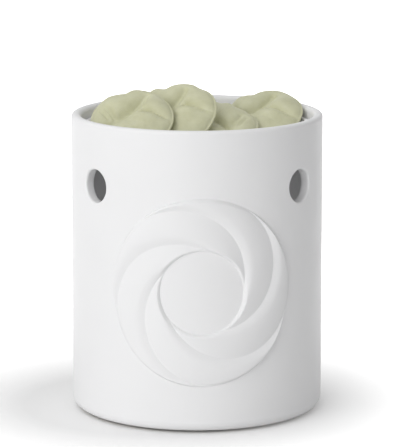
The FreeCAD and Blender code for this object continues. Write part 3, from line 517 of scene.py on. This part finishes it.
def ceramic_shell():
    """The body: outer and inner wall, whirl, holes, rim with its ledge, and floor with its foot."""
    vents = [(side * VENT_AZIMUTH, VENT_HEIGHT, VENT_RADIUS) for side in (-1, 1)]
    cord = (math.pi, CORD_HEIGHT, CORD_HOLE_RADIUS)
    cord_open = (*cord[:2], CORD_HOLE_RADIUS + CORD_HOLE_ROUND)
    outer = [(azimuth, height, reach + VENT_ROUND) for azimuth, height, reach in vents] + [cord_open]
    inner = [(azimuth, height, reach + SOFT_EDGE) for azimuth, height, reach in vents] + [cord_open]
    parts = [
        wall_part(BODY_RADIUS, FOOT_BOTTOM + FOOT_ROUND, RIM_TOP - RIM_ROUND, outer, True),
        wall_part(INNER_RADIUS, FLOOR_TOP, LEDGE_ROOT, inner, False),
        strips(whirl_rings()),
        strips(hole_rings(*cord, CORD_HOLE_ROUND, CORD_HOLE_ROUND)),
    ]
    parts += [strips(hole_rings(*vent, VENT_ROUND, SOFT_EDGE)) for vent in vents]
    rim = [
        (BODY_RADIUS, RIM_TOP - RIM_ROUND, 0),
        (BODY_RADIUS, RIM_TOP, RIM_ROUND),
        (INNER_RADIUS, RIM_TOP, RIM_INNER_ROUND),
        (INNER_RADIUS, LEDGE_TOP, SOFT_EDGE),
        (LEDGE_RADIUS, LEDGE_TOP, SOFT_EDGE),
        (LEDGE_RADIUS, LEDGE_TIP, SOFT_EDGE),
        (INNER_RADIUS, LEDGE_ROOT, 0),
    ]
    foot = [
        (INNER_RADIUS, FLOOR_TOP, 0),
        (OPENING_RADIUS, FLOOR_TOP, SOFT_EDGE),
        (OPENING_RADIUS, FLOOR_UNDER, SOFT_EDGE),
        (RECESS_RADIUS, FLOOR_UNDER, SOFT_EDGE),
        (RECESS_RADIUS, FOOT_BOTTOM, SOFT_EDGE),
        (BODY_RADIUS, FOOT_BOTTOM, FOOT_ROUND),
        (BODY_RADIUS, FOOT_BOTTOM + FOOT_ROUND, 0),
    ]
    parts += [strips(turned(profile(rim, RIM_STEPS))), strips(turned(profile(foot, BASE_STEPS)))]
    points, faces = joined(*parts)
    nodes = ["ceramic_shell"]
    return piece(
        "ceramic_body", points, faces, "base", nodes, BODY_GLAZE, shell_normal, SHELL_SHARP
    )


def wax_dish():
    corners = [
        (0, DISH_UNDER, 0),
        (DISH_RADIUS, DISH_UNDER, DISH_OUTER_ROUND),
        (DISH_RADIUS, DISH_LIP, DISH_LIP_ROUND),
        (DISH_RADIUS - DISH_WALL, DISH_LIP, DISH_LIP_ROUND),
        (DISH_RADIUS - DISH_WALL, DISH_FLOOR, DISH_INNER_ROUND),
        (0, DISH_FLOOR, 0),
    ]
    points, faces = strips(turned(profile(corners, DISH_STEPS)))
    return piece("dish", points, faces, "dish", ["wax_dish"], DISH_GLAZE)


# Wax melts


def melt_reach(turn, dips):
    """Distance of a melt's outline from its middle at a turn, as a share of its radius."""
    reach = 1
    for place, width, dip in dips:
        gap = turn / (2 * math.pi) - place
        reach -= dip * math.exp(-(((gap - round(gap)) / width) ** 2))
    return reach


def off_line(x, y, line):
    """Distance of a place from a line of places."""
    gaps = []
    for (ax, ay), (bx, by) in zip(line, line[1:]):
        along = ((x - ax) * (bx - ax) + (y - ay) * (by - ay)) / ((bx - ax) ** 2 + (by - ay) ** 2)
        along = min(1, max(0, along))
        gaps.append(math.hypot(x - ax - along * (bx - ax), y - ay - along * (by - ay)))
    return min(gaps)


def melt_crown(x, y, share, folds):
    """Height of a melt's top as a share of its half thickness.

    It is a dome with a thin rim, with folds pressed into it and swellings between them.
    """
    dome = math.sqrt(max(0, 1 - (share / MELT_RIM_SHARE) ** 2))
    fold = 0
    for width, depth, line in folds:
        fold += depth * math.exp(-((off_line(x, y, line) / width) ** MELT_FOLD_POWER))
    lobe = 0
    for width, rise, (across, back) in MELT_LOBE_SHARES:
        lobe += rise * math.exp(-((math.hypot(x - across, y - back) / width) ** 2))
    rim = MELT_RIM_RISE_SHARE * math.sqrt(max(0, 1 - share**MELT_RIM_POWER))
    return math.hypot(dome * max(MELT_LEAST_SHARE, 1 - fold) * (1 + lobe), rim)


def melt(name, seed):
    """One melt: a round underside and a folded top, with its own outline, set in its place in the pile."""
    dips = MELT_OUTLINE_SHARES + MELT_OWN_SHARES[name]
    mirrored = name == MIRRORED_MELT
    folds = FRONT_FOLD_SHARES if mirrored else MELT_FOLD_SHARES
    hand = -1 if mirrored else 1
    rings = []
    for above in (False, True):
        for step in range(MELT_RINGS + 1):
            quarter = math.pi / 2 * step / MELT_RINGS
            share = math.cos(quarter) if above else math.sin(quarter)
            ring = []
            for i in range(MELT_AROUND):
                around = 2 * math.pi * i / MELT_AROUND
                reach = melt_reach(around, dips) * share
                x, y = reach * math.cos(around), reach * math.sin(around)
                rise = melt_crown(x, y, share, folds) if above else -math.sqrt(max(0, 1 - share**2))
                ring.append(Vector((MELT_RADIUS * x * hand, MELT_RADIUS * y, MELT_HALF * rise)))
            rings.append(ring)
    points, faces = strips(rings)
    middle, tilt, lean, turn = MELT_PLACES[name]
    place = Matrix.Translation(middle) @ Matrix.Rotation(math.radians(lean), 4, "Y")
    place = place @ Matrix.Rotation(math.radians(tilt), 4, "X") @ Matrix.Rotation(math.radians(turn), 4, "Z")
    soft = []
    for point in points:
        wander = noise.noise(point * WANDER_WAVES + Vector((seed, 0, 0))) * WANDER
        soft.append(place @ (point + point.normalized() * wander))
    title = name.replace("wax_", "") + "_wax"
    return piece(title, soft, faces, "melts", [name], WAX, sharp=MELT_SHARP)


# Feet, grommet and fixings


def joined_round(part, azimuths):
    """Copies of one part turned about +Z."""
    return joined(*(moved(part, Matrix.Rotation(azimuth, 4, "Z")) for azimuth in azimuths))


def rubber_feet():
    foot = strips(turned(profile(FOOT_PAD_CORNERS), FOOT_PAD_POINTS))
    foot = moved(foot, Matrix.Translation((0, -FOOT_PAD_PLACE, 0)))
    points, faces = joined_round(foot, FOOT_PAD_AZIMUTHS)
    return piece("feet", points, faces, "base", ["rubber_feet"], RUBBER)


def cord_grommet():
    place = Matrix.Translation((0, 0, CORD_HEIGHT)) @ Matrix.Rotation(math.radians(-90), 4, "X")
    rings = turned(profile(GROMMET_CORNERS), GROMMET_POINTS)
    points, faces = moved(strips(rings, loop=True), place)
    return piece("grommet", points, faces, "base", ["cord_grommet"], RUBBER)


def ring_at(radius, height, count):
    turns = [2 * math.pi * i / count for i in range(count)]
    return [Vector((radius * math.cos(turn), radius * math.sin(turn), height)) for turn in turns]


def threaded(radius, depth, pitch, low, high, count, steps):
    """Rings of a right-hand screw thread between two heights."""
    rings = []
    rows = round((high - low) / pitch * steps)
    for row in range(rows + 1):
        height = low + (high - low) * row / rows
        fade = min(1, (height - low) / pitch, (high - height) / pitch)
        ring = []
        for i in range(count):
            turn = 2 * math.pi * i / count
            wave = (1 + math.cos(2 * math.pi * (height / pitch - i / count))) / 2
            reach = radius - depth * (1 - wave * fade)
            ring.append(Vector((reach * math.cos(turn), reach * math.sin(turn), height)))
        rings.append(ring)
    return rings


def cross_head():
    """Rings of a pan head seen from below, with a cross recess, from its middle out and up its side."""
    rings = []
    for row in range(HEAD_ROWS + 1):
        share = row / HEAD_ROWS
        crown = (PLATE_UNDER - HEAD_UNDER) * HEAD_CROWN_SHARE * share**HEAD_CROWN_POWER
        ring = []
        for i in range(HEAD_POINTS):
            turn = 2 * math.pi * i / HEAD_POINTS
            x, y = HEAD_RADIUS * share * math.cos(turn), HEAD_RADIUS * share * math.sin(turn)
            off = min(abs(x), abs(y)) - SLOT_WIDTH / 2
            end = max(abs(x), abs(y)) - SLOT_REACH
            inside = min(1, max(0, -max(off, end) / SLOT_EDGE))
            ring.append(Vector((x, y, HEAD_UNDER + crown + SLOT_DEPTH * inside)))
        rings.append(ring)
    rings += [ring_at(radius, PLATE_UNDER, HEAD_POINTS) for radius in (HEAD_RADIUS, 0)]
    return rings


def base_screws():
    thread = threaded(
        SCREW_RADIUS, SCREW_THREAD, SCREW_PITCH, PLATE_UNDER, SCREW_THREAD_TOP,
        SCREW_POINTS, SCREW_THREAD_STEPS,
    )
    tip = [ring_at(radius, SCREW_TIP, SCREW_POINTS) for radius in (SCREW_TIP_RADIUS, 0)]
    shank = strips([ring_at(0, PLATE_UNDER, SCREW_POINTS)] + thread + tip)
    screw = moved(joined(strips(cross_head()), shank), Matrix.Translation((0, -SCREW_RING, 0)))
    points, faces = joined_round(screw, SCREW_AZIMUTHS)
    return piece("cross_screws", points, faces, "base", ["base_screws"], STEEL)


# Lamp


def bezier(corners, steps):
    """Points of a cubic curve without its two ends."""
    a, b, c, d = (Vector(corner) for corner in corners)
    line = []
    for step in range(1, steps):
        t = step / steps
        line.append(a * (1 - t) ** 3 + b * 3 * t * (1 - t) ** 2 + c * 3 * t * t * (1 - t) + d * t**3)
    return line


def glass_line(inset):
    """Half outline of the lamp's envelope, from its open neck up."""
    neck, belly = LAMP_NECK - inset, LAMP_BELLY - inset
    half = (LAMP_SHOULDER - LAMP_CAP_TOP) / 2
    curve = [
        (neck, LAMP_CAP_TOP), (neck, LAMP_CAP_TOP + half),
        (belly, LAMP_SHOULDER - half), (belly, LAMP_SHOULDER),
    ]
    line = [Vector((neck, LAMP_NECK_UNDER)), Vector((neck, LAMP_CAP_TOP))]
    line += bezier(curve, LAMP_GLASS_STEPS)
    line += [Vector((belly, LAMP_SHOULDER)), Vector((belly, (LAMP_SHOULDER + LAMP_CROWN) / 2))]
    for step in range(LAMP_GLASS_STEPS + 1):
        quarter = math.pi / 2 * step / LAMP_GLASS_STEPS
        line.append(Vector((belly * math.cos(quarter), LAMP_CROWN + belly * math.sin(quarter))))
    return line


def lamp_glass():
    line = glass_line(0) + glass_line(LAMP_GLASS_WALL)[::-1]
    points, faces = strips(turned(line, LAMP_POINTS), loop=True)
    return piece("envelope", points, faces, "bulb", ["bulb_glass"], GLASS)


def lamp_cap():
    """The screw cap: a thin cup, threaded outside, with a hole in its floor."""
    thread = threaded(
        LAMP_CAP_RADIUS, LAMP_THREAD, LAMP_PITCH, LAMP_CAP_UNDER, LAMP_THREAD_TOP,
        LAMP_POINTS, LAMP_THREAD_STEPS,
    )
    over = [
        (LAMP_CAP_RADIUS, LAMP_COLLAR_UNDER),
        (LAMP_CAP_RADIUS, LAMP_CAP_TOP - LAMP_CAP_EDGE),
        (LAMP_NECK + LAMP_CAP_EDGE, LAMP_CAP_TOP),
        (LAMP_NECK, LAMP_CAP_TOP),
        (LAMP_NECK, LAMP_CAP_UNDER + LAMP_CAP_SHEET),
        (LAMP_CAP_HOLE, LAMP_CAP_UNDER + LAMP_CAP_SHEET),
    ]
    rings = [ring_at(LAMP_CAP_HOLE, LAMP_CAP_UNDER, LAMP_POINTS)] + thread
    rings += [ring_at(radius, height, LAMP_POINTS) for radius, height in over]
    points, faces = strips(rings, loop=True)
    return piece("screw_cap", points, faces, "bulb", ["bulb_cap"], BRASS)


def filament():
    """A fine coil hung in a shallow bow between the ends of the support wires."""
    path = []
    count = FILAMENT_TURNS * FILAMENT_TURN_STEPS
    for step in range(count + 1):
        along = 2 * step / count - 1
        turn = 2 * math.pi * step / FILAMENT_TURN_STEPS
        height = FILAMENT_ENDS + FILAMENT_BOW * (1 - along**2) + FILAMENT_COIL * math.cos(turn)
        path.append(Vector((FILAMENT_REACH * along, FILAMENT_COIL * math.sin(turn), height)))
    points, faces = tube(path, FILAMENT_WIRE, FILAMENT_SIDES)
    return piece("coil", points, faces, "bulb", ["bulb_filament"], TUNGSTEN)


# Materials

# The band of a noise's values that a wander spreads out
NOISE_BAND_SHARES = (0.3, 0.7)
# Glaze: heights between which it is wiped off the foot, the clay there, and its shine
WIPED_HEIGHTS = (0.0009, 0.0014)
BARE_CLAY = (0.68, 0.65, 0.6)
GLAZE_IOR = 1.45
GLAZE_SPECULAR_SHARE = 0.15
# Wax: its two main colours, its pale specks, and the part of its fine noise in which these show
WAX_DARK = (0.53, 0.53, 0.345)
WAX_LIGHT = (0.61, 0.61, 0.422)
WAX_SPECK = (0.66, 0.65, 0.49)
WAX_SPECK_BAND_SHARES = (0.55, 0.8)
WAX_SPECK_SHARE = 0.35
WAX_IOR = 1.44
WAX_SUBSURFACE_SHARE = 0.1
WAX_SUBSURFACE_DEPTH = 0.001
WAX_SUBSURFACE_COLOUR = (1.0, 0.9, 0.5)
# How much broader the grain of a grained material's roughness is than that of its colour
ROUGH_GRAIN = 1.7


class Stuff:
    """A node material: helpers that add and join nodes."""

    def __init__(self, name, **shader):
        self.material = bpy.data.materials.new(name)
        self.material.use_nodes = True
        self.nodes = self.material.node_tree.nodes
        self.links = self.material.node_tree.links
        self.shader = self.nodes["Principled BSDF"]
        for socket, value in shader.items():
            self.shader.inputs[socket.replace("_", " ")].default_value = value
        self.place = self.nodes.new("ShaderNodeTexCoord").outputs["Object"]

    def noise(self, grain, detail, stretch=(1, 1, 1)):
        mapping = self.nodes.new("ShaderNodeMapping")
        mapping.inputs["Scale"].default_value = stretch
        self.links.new(self.place, mapping.inputs["Vector"])
        texture = self.nodes.new("ShaderNodeTexNoise")
        texture.inputs["Scale"].default_value = 1 / grain
        texture.inputs["Detail"].default_value = detail
        self.links.new(mapping.outputs["Vector"], texture.inputs["Vector"])
        return texture.outputs["Fac"]

    def ramp(self, source, low, high, first, last):
        """The source's low..high as a blend from a first to a last colour or number."""
        if isinstance(first, (int, float)):
            node = self.nodes.new("ShaderNodeMapRange")
            for socket, value in zip(("From Min", "From Max", "To Min", "To Max"), (low, high, first, last)):
                node.inputs[socket].default_value = value
            self.links.new(source, node.inputs["Value"])
            return node.outputs["Result"]
        node = self.nodes.new("ShaderNodeValToRGB")
        node.color_ramp.elements[0].position = low
        node.color_ramp.elements[1].position = high
        node.color_ramp.elements[0].color = (*first, 1)
        node.color_ramp.elements[1].color = (*last, 1)
        self.links.new(source, node.inputs["Fac"])
        return node.outputs["Color"]

    def wander(self, grain, detail, first, last, stretch=(1, 1, 1)):
        """Noise of a grain that blends from a first to a last colour or number."""
        return self.ramp(self.noise(grain, detail, stretch), *NOISE_BAND_SHARES, first, last)

    def mix(self, share, first, second):
        """Two colours or colour sources mixed by a share."""
        node = self.nodes.new("ShaderNodeMix")
        node.data_type = "RGBA"
        self.links.new(share, node.inputs["Factor"])
        for socket, value in zip((node.inputs["A"], node.inputs["B"]), (first, second)):
            if isinstance(value, tuple):
                socket.default_value = (*value, 1)
            else:
                self.links.new(value, socket)
        return node.outputs["Result"]

    def set(self, socket, source):
        self.links.new(source, self.shader.inputs[socket])

    def bump(self, source, height, after=None):
        node = self.nodes.new("ShaderNodeBump")
        node.inputs["Distance"].default_value = height
        self.links.new(source, node.inputs["Height"])
        if after:
            self.links.new(after, node.inputs["Normal"])
        return node.outputs["Normal"]

    def height(self):
        """Height over the floor."""
        split = self.nodes.new("ShaderNodeSeparateXYZ")
        self.links.new(self.place, split.inputs["Vector"])
        return split.outputs["Z"]


def glaze(name, thin, thick):
    """White glaze: it pools a little, ripples very finely, and is wiped off the foot ring."""
    stuff = Stuff(name, IOR=GLAZE_IOR, Specular_IOR_Level=GLAZE_SPECULAR_SHARE)
    pooled = stuff.wander(grain=0.03, detail=2, first=thin, last=thick)
    wiped = stuff.ramp(stuff.height(), *WIPED_HEIGHTS, 1.0, 0.0)
    stuff.set("Base Color", stuff.mix(wiped, pooled, BARE_CLAY))
    stuff.set("Roughness", stuff.wander(grain=0.012, detail=3, first=0.4, last=0.46))
    stuff.set("Normal", stuff.bump(stuff.noise(grain=0.003, detail=1), height=0.000006))
    return stuff.material


def grained(name, dark, light, grain, rough, height, stretch=(1, 1, 1), **shader):
    """A material whose colour, roughness and bump wander over broad, broader and fine grains."""
    stuff = Stuff(name, **shader)
    stuff.set("Base Color", stuff.wander(grain, 5, dark, light, stretch))
    stuff.set("Roughness", stuff.wander(grain * ROUGH_GRAIN, 3, *rough, stretch))
    stuff.set("Normal", stuff.bump(stuff.noise(grain / 2, 3, stretch), height))
    return stuff.material


def wax():
    """Soft opaque wax: faint mottling, a fine skin, light that sinks in a little."""
    stuff = Stuff(
        "wax", IOR=WAX_IOR, Subsurface_Weight=WAX_SUBSURFACE_SHARE, Subsurface_Scale=WAX_SUBSURFACE_DEPTH,
        Subsurface_Radius=WAX_SUBSURFACE_COLOUR,
    )
    cloud = stuff.wander(grain=0.006, detail=3, first=WAX_DARK, last=WAX_LIGHT)
    fine = stuff.noise(grain=0.0009, detail=4)
    specks = stuff.ramp(fine, *WAX_SPECK_BAND_SHARES, 0.0, WAX_SPECK_SHARE)
    stuff.set("Base Color", stuff.mix(specks, cloud, WAX_SPECK))
    stuff.set("Roughness", stuff.wander(grain=0.003, detail=3, first=0.42, last=0.58))
    broad = stuff.bump(stuff.noise(grain=0.0035, detail=2), height=0.0003)
    stuff.set("Normal", stuff.bump(fine, height=0.00003, after=broad))
    return stuff.material


# Each has its darkest and lightest colour, and a grained one its grain, roughness and bump height too
BODY_GLAZE = glaze("body_glaze", (0.845, 0.845, 0.85), (0.855, 0.855, 0.86))
DISH_GLAZE = glaze("dish_glaze", (0.835, 0.835, 0.84), (0.845, 0.845, 0.85))
WAX = wax()
RUBBER = grained("rubber", (0.6, 0.6, 0.6), (0.66, 0.66, 0.66), 0.0008, (0.55, 0.7), 0.00002)
STEEL = grained(
    "plated_steel", (0.5, 0.5, 0.52), (0.62, 0.62, 0.63), 0.001, (0.25, 0.42), 0.000006,
    stretch=(1, 8, 1), Metallic=1.0,
)
PLATE_PAINT = grained("plate_paint", (0.7, 0.7, 0.7), (0.75, 0.75, 0.75), 0.0012, (0.35, 0.5), 0.00002)
ALUMINIUM = grained(
    "aluminium", (0.7, 0.7, 0.72), (0.8, 0.8, 0.81), 0.001, (0.3, 0.45), 0.00001, Metallic=1.0,
)
FIBRE = grained("fibre", (0.3, 0.1, 0.06), (0.45, 0.18, 0.11), 0.0005, (0.7, 0.9), 0.00004)
MOULDED = grained("moulded_black", (0.02, 0.02, 0.022), (0.035, 0.035, 0.038), 0.001, (0.3, 0.45), 0.00001)
MOULDED_WHITE = grained("moulded_white", (0.7, 0.69, 0.64), (0.76, 0.75, 0.7), 0.001, (0.35, 0.5), 0.00001)
BRASS = grained("brass", (0.62, 0.42, 0.16), (0.75, 0.55, 0.26), 0.0015, (0.2, 0.35), 0.000006, Metallic=1.0)
LEAD_BROWN = grained("lead_brown", (0.12, 0.05, 0.025), (0.16, 0.07, 0.035), 0.001, (0.3, 0.45), 0.00001)
LEAD_BLUE = grained("lead_blue", (0.02, 0.08, 0.3), (0.03, 0.11, 0.38), 0.001, (0.3, 0.45), 0.00001)
BLACK_GLASS = grained("black_glass", (0.01, 0.01, 0.012), (0.02, 0.02, 0.022), 0.001, (0.08, 0.16), 0.000005)
SOLDER = grained("solder", (0.5, 0.5, 0.52), (0.7, 0.7, 0.72), 0.0006, (0.2, 0.4), 0.00003, Metallic=1.0)
TUNGSTEN = grained(
    "tungsten", (0.2, 0.19, 0.18), (0.3, 0.29, 0.28), 0.0003, (0.4, 0.6), 0.00001, Metallic=1.0,
)
GLASS = grained(
    "clear_glass", (0.94, 0.96, 0.96), (0.98, 0.99, 0.99), 0.004, (0.0, 0.03), 0.000004,
    Transmission_Weight=1.0, IOR=1.5,
)

# What each CAD node that stays is made of
NODE_STUFF = {
    "base_plate": PLATE_PAINT,
    "fibre_washers": FIBRE,
    "base_nuts": STEEL,
    "socket_bracket": STEEL,
    "bracket_rivets": ALUMINIUM,
    "socket_nipple": STEEL,
    "nipple_nut": STEEL,
    "lampholder_housing": MOULDED,
    "screw_shell": BRASS,
    "centre_contact": BRASS,
    "terminal_screws": BRASS,
    "terminal_block": MOULDED_WHITE,
    "block_screw": STEEL,
    "clamp_screws": BRASS,
    "lead_live": LEAD_BROWN,
    "lead_neutral": LEAD_BLUE,
    "bulb_insulator": BLACK_GLASS,
    "bulb_tip": SOLDER,
    "bulb_stem": GLASS,
    "bulb_wires": SOLDER,
}

ceramic_shell()
wax_dish()
rubber_feet()
cord_grommet()
base_screws()
lamp_glass()
lamp_cap()
filament()
for number, name in enumerate(MELT_PLACES):
    melt(name, WANDER_STEP * number)
for name, stuff in NODE_STUFF.items():
    for slot in frame["nodes"][name].material_slots:
        slot.material = stuff

# Floor, lights and camera

FLOOR_REACH = 6
FLOOR_COLOUR = (0.9, 0.9, 0.9)
# The floor glows, dimly near the object as a painted shadow round its foot: the painted shadow's middle, set
# to the left so that it is deeper there, where the glowing begins to grow and where it is full, and its least
# and most
PAINTED_SHADOW_MIDDLE = (-0.02, 0, 0)
PAINTED_SHADOW_REACH = (0.05, 0.2)
GLOW_STRENGTH = (0.02, 1.4)
# Strength of the light from all round and of the white backdrop, and what the two panels look at
WORLD_LIGHT = 0.41
BACKDROP_LIGHT = 1
PANEL_LOOK = Vector((0, 0, 0.06))
# The faint light beside the lamp's glass, as the warmer has when it is on
INSIDE_POWER = 0.005
INSIDE_RADIUS = 0.008
INSIDE_PLACE = (0, 0.025, 0.066)
# Camera, which stands in front of the object and looks at a point on its axis
CAMERA_SENSOR = 36
CAMERA_LENS = 255.2
CAMERA_SHIFT = 0.0075
CAMERA_FAR = 20
CAMERA_AZIMUTH = math.radians(-0.5)
CAMERA_AWAY = 1.11485
CAMERA_HEIGHT = 0.28706
CAMERA_LOOK = Vector((0, 0, 0.0739))


def look_at(thing, place):
    thing.rotation_euler = (place - thing.location).to_track_quat("-Z", "Y").to_euler()


def seen_share(nodes, links):
    """One for what the camera sees, straight or in metal or through glass, and nought for all else."""
    path = nodes.new("ShaderNodeLightPath")
    total = path.outputs["Is Camera Ray"]
    for ray in ("Is Glossy Ray", "Is Transmission Ray"):
        more = nodes.new("ShaderNodeMath")
        more.operation = "ADD"
        more.use_clamp = True
        links.new(total, more.inputs[0])
        links.new(path.outputs[ray], more.inputs[1])
        total = more.outputs[0]
    return total


def floor_with_painted_shadow():
    """A pale matte ground, which glows more away from the object, for the camera and in reflections alone;
    its dimmer glowing near the object is a painted shadow round the foot.
    """
    material = bpy.data.materials.new("floor")
    material.use_nodes = True
    nodes, links = material.node_tree.nodes, material.node_tree.links
    nodes.clear()
    matte = nodes.new("ShaderNodeBsdfDiffuse")
    matte.inputs["Color"].default_value = (*FLOOR_COLOUR, 1)
    place = nodes.new("ShaderNodeTexCoord")
    away = nodes.new("ShaderNodeVectorMath")
    away.operation = "DISTANCE"
    away.inputs[1].default_value = PAINTED_SHADOW_MIDDLE
    links.new(place.outputs["Object"], away.inputs[0])
    # Dim near the object as painted shadow, full further out
    glow_and_painted_shadow = nodes.new("ShaderNodeMapRange")
    for socket, value in zip(("From Min", "From Max", "To Min", "To Max"), PAINTED_SHADOW_REACH + GLOW_STRENGTH):
        glow_and_painted_shadow.inputs[socket].default_value = value
    links.new(away.outputs["Value"], glow_and_painted_shadow.inputs["Value"])
    strength = nodes.new("ShaderNodeMath")
    strength.operation = "MULTIPLY"
    links.new(glow_and_painted_shadow.outputs["Result"], strength.inputs[0])
    links.new(seen_share(nodes, links), strength.inputs[1])
    light = nodes.new("ShaderNodeEmission")
    links.new(strength.outputs[0], light.inputs["Strength"])
    total = nodes.new("ShaderNodeAddShader")
    links.new(matte.outputs[0], total.inputs[0])
    links.new(light.outputs[0], total.inputs[1])
    links.new(total.outputs[0], nodes.new("ShaderNodeOutputMaterial").inputs["Surface"])
    return material


def floor():
    mesh = bpy.data.meshes.new("floor")
    corners = [(x * FLOOR_REACH, y * FLOOR_REACH, 0) for x, y in ((-1, -1), (1, -1), (1, 1), (-1, 1))]
    mesh.from_pydata(corners, [], [(0, 1, 2, 3)])
    mesh.materials.append(floor_with_painted_shadow())
    ground = placed("floor", mesh)


def panel(name, azimuth, elevation, distance, size, power):
    """A soft square panel of light that looks at the object."""
    data = bpy.data.lights.new(name, "AREA")
    data.size = size
    data.energy = power
    turn, rise = math.radians(azimuth), math.radians(elevation)
    light = placed(name, data)
    light.location = PANEL_LOOK + polar(turn, math.sin(rise), math.cos(rise)) * distance
    look_at(light, PANEL_LOOK)


def lamp_inside():
    data = bpy.data.lights.new("lamp_inside", "POINT")
    data.energy = INSIDE_POWER
    data.shadow_soft_size = INSIDE_RADIUS
    placed("lamp_inside", data).location = INSIDE_PLACE


def world():
    """Even white light from all round, and a white backdrop for the camera and in reflections."""
    studio = bpy.data.worlds.new("studio")
    bpy.context.scene.world = studio
    studio.use_nodes = True
    nodes, links = studio.node_tree.nodes, studio.node_tree.links
    nodes.clear()
    choose = nodes.new("ShaderNodeMixShader")
    links.new(seen_share(nodes, links), choose.inputs["Fac"])
    for place, strength in enumerate((WORLD_LIGHT, BACKDROP_LIGHT), start=1):
        light = nodes.new("ShaderNodeBackground")
        light.inputs["Color"].default_value = (1, 1, 1, 1)
        light.inputs["Strength"].default_value = strength
        links.new(light.outputs[0], choose.inputs[place])
    links.new(choose.outputs[0], nodes.new("ShaderNodeOutputWorld").inputs["Surface"])


def camera():
    data = bpy.data.cameras.new("camera")
    data.sensor_fit = "HORIZONTAL"
    data.sensor_width = CAMERA_SENSOR
    data.lens = CAMERA_LENS
    data.shift_x = CAMERA_SHIFT
    data.clip_end = CAMERA_FAR
    eye = placed("camera", data)
    eye.location = polar(CAMERA_AZIMUTH, CAMERA_HEIGHT, CAMERA_AWAY)
    look_at(eye, CAMERA_LOOK)
    bpy.context.scene.camera = eye


floor()
world()
panel("key", azimuth=-32, elevation=22, distance=1.2, size=1.1, power=7.6)
panel("high", azimuth=-105, elevation=71, distance=1.4, size=1.0, power=4.3)
lamp_inside()
camera()
bpy.context.scene.view_settings.view_transform = "Standard"
